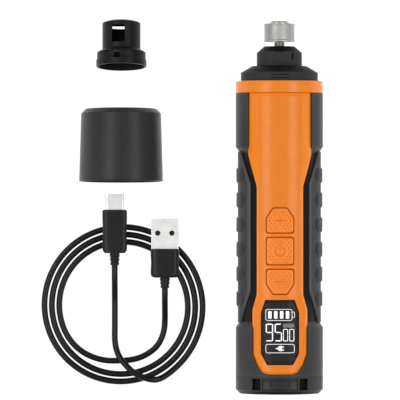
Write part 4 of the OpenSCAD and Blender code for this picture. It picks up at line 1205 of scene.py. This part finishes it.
def make_table():
    """A white table that shines by itself, and fades towards its far and near ends."""
    reach, middle, fade_from, fade_to = 4.0, 0.0153, 0.088, 0.3
    mesh = bpy.data.meshes.new("table_top")
    corners = [(-reach, -reach, 0), (reach, -reach, 0), (reach, reach, 0), (-reach, reach, 0)]
    mesh.from_pydata(corners, [], [(0, 1, 2, 3)])
    table = bpy.data.objects.new("table_top", mesh)
    table.location.z = -0.0002
    bpy.context.scene.collection.objects.link(table)
    top = glow("table", (0.0, 0.0, 0.0), 1.0)
    mesh.materials.append(top)
    tree = top.node_tree
    bsdf = tree.nodes["Principled BSDF"]
    bsdf.inputs["Emission Color"].default_value = (1.0, 1.0, 1.0, 1.0)
    bsdf.inputs["Specular IOR Level"].default_value = 0.0
    spot = tree.nodes.new("ShaderNodeTexCoord").outputs["Object"]
    along = add_node(tree, "SeparateXYZ", {"Vector": spot}).outputs["Y"]
    far = arithmetic(tree, "ABSOLUTE", arithmetic(tree, "SUBTRACT", along, middle))
    fade = spread(tree, far, 1.06, 0.5, fade_from, fade_to, smooth=True)
    tree.links.new(fade, bsdf.inputs["Emission Strength"])
    return table


def make_room(look):
    """A pale room that is brightest overhead and darker at both ends."""
    world = bpy.data.worlds.new("room")
    world.use_nodes = True
    tree = world.node_tree
    tree.nodes["Background"].inputs["Color"].default_value = (1.0, 1.0, 1.0, 1.0)
    spot = tree.nodes.new("ShaderNodeTexCoord").outputs["Generated"]
    parts = add_node(tree, "SeparateXYZ", {"Vector": spot})
    along = arithmetic(tree, "ABSOLUTE", parts.outputs["Y"])
    fall = spread(tree, along, 1.1 * look.fill, 0.05 * look.fill, 0.0, 0.9)
    rise = spread(tree, parts.outputs["Z"], 0.08, 1.0, 0.2, 0.65, smooth=True)
    strength = arithmetic(tree, "MULTIPLY", fall, rise)
    tree.links.new(strength, tree.nodes["Background"].inputs["Strength"])
    return world


def add_strip(name, angle, width, power, shines):
    """A long strip light over the tool, turned to one side by the angle. It mirrors only if it shines."""
    far, long = 0.7, 0.7
    turn = math.radians(angle)
    light = bpy.data.lights.new(name, "AREA")
    light.shape = "RECTANGLE"
    light.size, light.size_y = width, long
    light.energy = power
    obj = bpy.data.objects.new(name, light)
    obj.location = (far * math.sin(turn), 0.0, far * math.cos(turn))
    obj.rotation_euler = (0.0, turn, 0.0)
    obj.visible_glossy = shines
    bpy.context.scene.collection.objects.link(obj)


def make_stage(look):
    """A bright white table, two strip lights and two washes, a pale room, and a camera that looks
    straight down."""
    scene = bpy.context.scene
    make_table()
    scene.world = make_room(look)
    add_strip("left_strip", -35, 0.26, 3.1 * look.strip_power, True)
    add_strip("right_strip", 35, 0.26, 3.1 * look.strip_power, True)
    add_strip("left_wash", -72, 0.4, 4.8 * look.strip_power, False)
    add_strip("right_wash", 72, 0.4, 3.9 * look.strip_power, False)

    camera = bpy.data.cameras.new("camera")
    distance, view_width, aim_x, aim_y = 2.0, 0.1744, -0.0346, 0.0151
    camera.sensor_width = 36.0
    camera.lens = camera.sensor_width * distance / view_width
    camera.clip_end = 20.0
    view = bpy.data.objects.new("camera", camera)
    view.location = (aim_x, aim_y, distance + AXIS_H / 1000)
    scene.collection.objects.link(view)
    scene.camera = view
    scene.view_settings.view_transform = "Standard"
    scene.view_settings.look = "None"


# ---------- Operators ----------


class GRINDER_OT_add_stage(bpy.types.Operator):
    """Adds the table, the lights and the camera"""

    bl_idname = "grinder.add_stage"
    bl_label = "Add Stage"
    bl_options = {"REGISTER", "UNDO"}

    def execute(self, context):
        make_stage(context.scene.grinder_look)
        return {"FINISHED"}


class GRINDER_OT_add_lead(bpy.types.Operator):
    """Adds the charging lead and its plugs"""

    bl_idname = "grinder.add_lead"
    bl_label = "Add Lead"
    bl_options = {"REGISTER", "UNDO"}

    def execute(self, context):
        make_lead(context.scene.grinder_lead)
        return {"FINISHED"}


class GRINDER_OT_add_housing(bpy.types.Operator):
    """Adds the two housing shells"""

    bl_idname = "grinder.add_housing"
    bl_label = "Add Housing"
    bl_options = {"REGISTER", "UNDO"}

    def execute(self, context):
        make_housing(context.scene.grinder_sizes, context.scene.grinder_look)
        return {"FINISHED"}


class GRINDER_OT_add_grips(bpy.types.Operator):
    """Adds the two ribbed grip pads"""

    bl_idname = "grinder.add_grips"
    bl_label = "Add Grips"
    bl_options = {"REGISTER", "UNDO"}

    def execute(self, context):
        make_grips(context.scene.grinder_sizes, context.scene.grinder_look)
        return {"FINISHED"}


class GRINDER_OT_add_panel(bpy.types.Operator):
    """Adds the front panel"""

    bl_idname = "grinder.add_panel"
    bl_label = "Add Panel"
    bl_options = {"REGISTER", "UNDO"}

    def execute(self, context):
        make_panel(context.scene.grinder_sizes, context.scene.grinder_look)
        return {"FINISHED"}


class GRINDER_OT_add_keys(bpy.types.Operator):
    """Adds the three keys"""

    bl_idname = "grinder.add_keys"
    bl_label = "Add Keys"
    bl_options = {"REGISTER", "UNDO"}

    def execute(self, context):
        make_keys(context.scene.grinder_sizes, context.scene.grinder_look)
        return {"FINISHED"}


class GRINDER_OT_add_display(bpy.types.Operator):
    """Adds the display window and its marks"""

    bl_idname = "grinder.add_display"
    bl_label = "Add Display"
    bl_options = {"REGISTER", "UNDO"}

    def execute(self, context):
        make_display(context.scene.grinder_sizes, context.scene.grinder_look)
        return {"FINISHED"}


class GRINDER_OT_add_nose(bpy.types.Operator):
    """Adds the collar ring and the nose"""

    bl_idname = "grinder.add_nose"
    bl_label = "Add Nose"
    bl_options = {"REGISTER", "UNDO"}

    def execute(self, context):
        make_nose(context.scene.grinder_sizes, context.scene.grinder_look)
        return {"FINISHED"}


class GRINDER_OT_add_drum(bpy.types.Operator):
    """Adds the grinding drum"""

    bl_idname = "grinder.add_drum"
    bl_label = "Add Drum"
    bl_options = {"REGISTER", "UNDO"}

    def execute(self, context):
        make_drum(context.scene.grinder_sizes, context.scene.grinder_look)
        return {"FINISHED"}


class GRINDER_OT_add_base(bpy.types.Operator):
    """Adds the base cap and the charging port"""

    bl_idname = "grinder.add_base"
    bl_label = "Add Base"
    bl_options = {"REGISTER", "UNDO"}

    def execute(self, context):
        make_base(context.scene.grinder_sizes, context.scene.grinder_look)
        return {"FINISHED"}


class GRINDER_OT_add_guard(bpy.types.Operator):
    """Adds the nail guard"""

    bl_idname = "grinder.add_guard"
    bl_label = "Add Nail Guard"
    bl_options = {"REGISTER", "UNDO"}

    def execute(self, context):
        make_guard(context.scene.grinder_sizes, context.scene.grinder_look)
        return {"FINISHED"}


class GRINDER_OT_add_cover(bpy.types.Operator):
    """Adds the dust cover"""

    bl_idname = "grinder.add_cover"
    bl_label = "Add Dust Cover"
    bl_options = {"REGISTER", "UNDO"}

    def execute(self, context):
        make_cover(context.scene.grinder_look)
        return {"FINISHED"}


class GRINDER_OT_add_inside(bpy.types.Operator):
    """Adds the finish of the inner pieces"""

    bl_idname = "grinder.add_inside"
    bl_label = "Add Inside"
    bl_options = {"REGISTER", "UNDO"}

    def execute(self, context):
        make_inside()
        return {"FINISHED"}


OPERATORS = [
    GRINDER_OT_add_stage, GRINDER_OT_add_lead, GRINDER_OT_add_housing, GRINDER_OT_add_grips,
    GRINDER_OT_add_panel, GRINDER_OT_add_keys, GRINDER_OT_add_display, GRINDER_OT_add_nose,
    GRINDER_OT_add_drum, GRINDER_OT_add_base, GRINDER_OT_add_guard, GRINDER_OT_add_cover,
    GRINDER_OT_add_inside,
]


class GRINDER_PT_panel(bpy.types.Panel):
    """The sidebar panel with the settings and one button for each group of pieces."""

    bl_label = "Pet Nail Grinder"
    bl_idname = "GRINDER_PT_panel"
    bl_space_type = "VIEW_3D"
    bl_region_type = "UI"
    bl_category = "Grinder"

    def draw(self, context):
        scene = context.scene
        for settings in (scene.grinder_sizes, scene.grinder_lead, scene.grinder_look):
            column = self.layout.column(align=True)
            for key in settings.__annotations__:
                column.prop(settings, key)
        for op in OPERATORS:
            self.layout.operator(op.bl_idname)


CLASSES = [GrinderSizes, GrinderLead, GrinderLook, *OPERATORS, GRINDER_PT_panel]


def register():
    for cls in CLASSES:
        bpy.utils.register_class(cls)
    bpy.types.Scene.grinder_sizes = PointerProperty(type=GrinderSizes)
    bpy.types.Scene.grinder_lead = PointerProperty(type=GrinderLead)
    bpy.types.Scene.grinder_look = PointerProperty(type=GrinderLook)


def unregister():
    del bpy.types.Scene.grinder_look
    del bpy.types.Scene.grinder_lead
    del bpy.types.Scene.grinder_sizes
    for cls in reversed(CLASSES):
        bpy.utils.unregister_class(cls)


def main():
    register()
    for op in OPERATORS:
        getattr(bpy.ops.grinder, op.bl_idname.split(".")[1])()


if __name__ == "__main__":
    main()
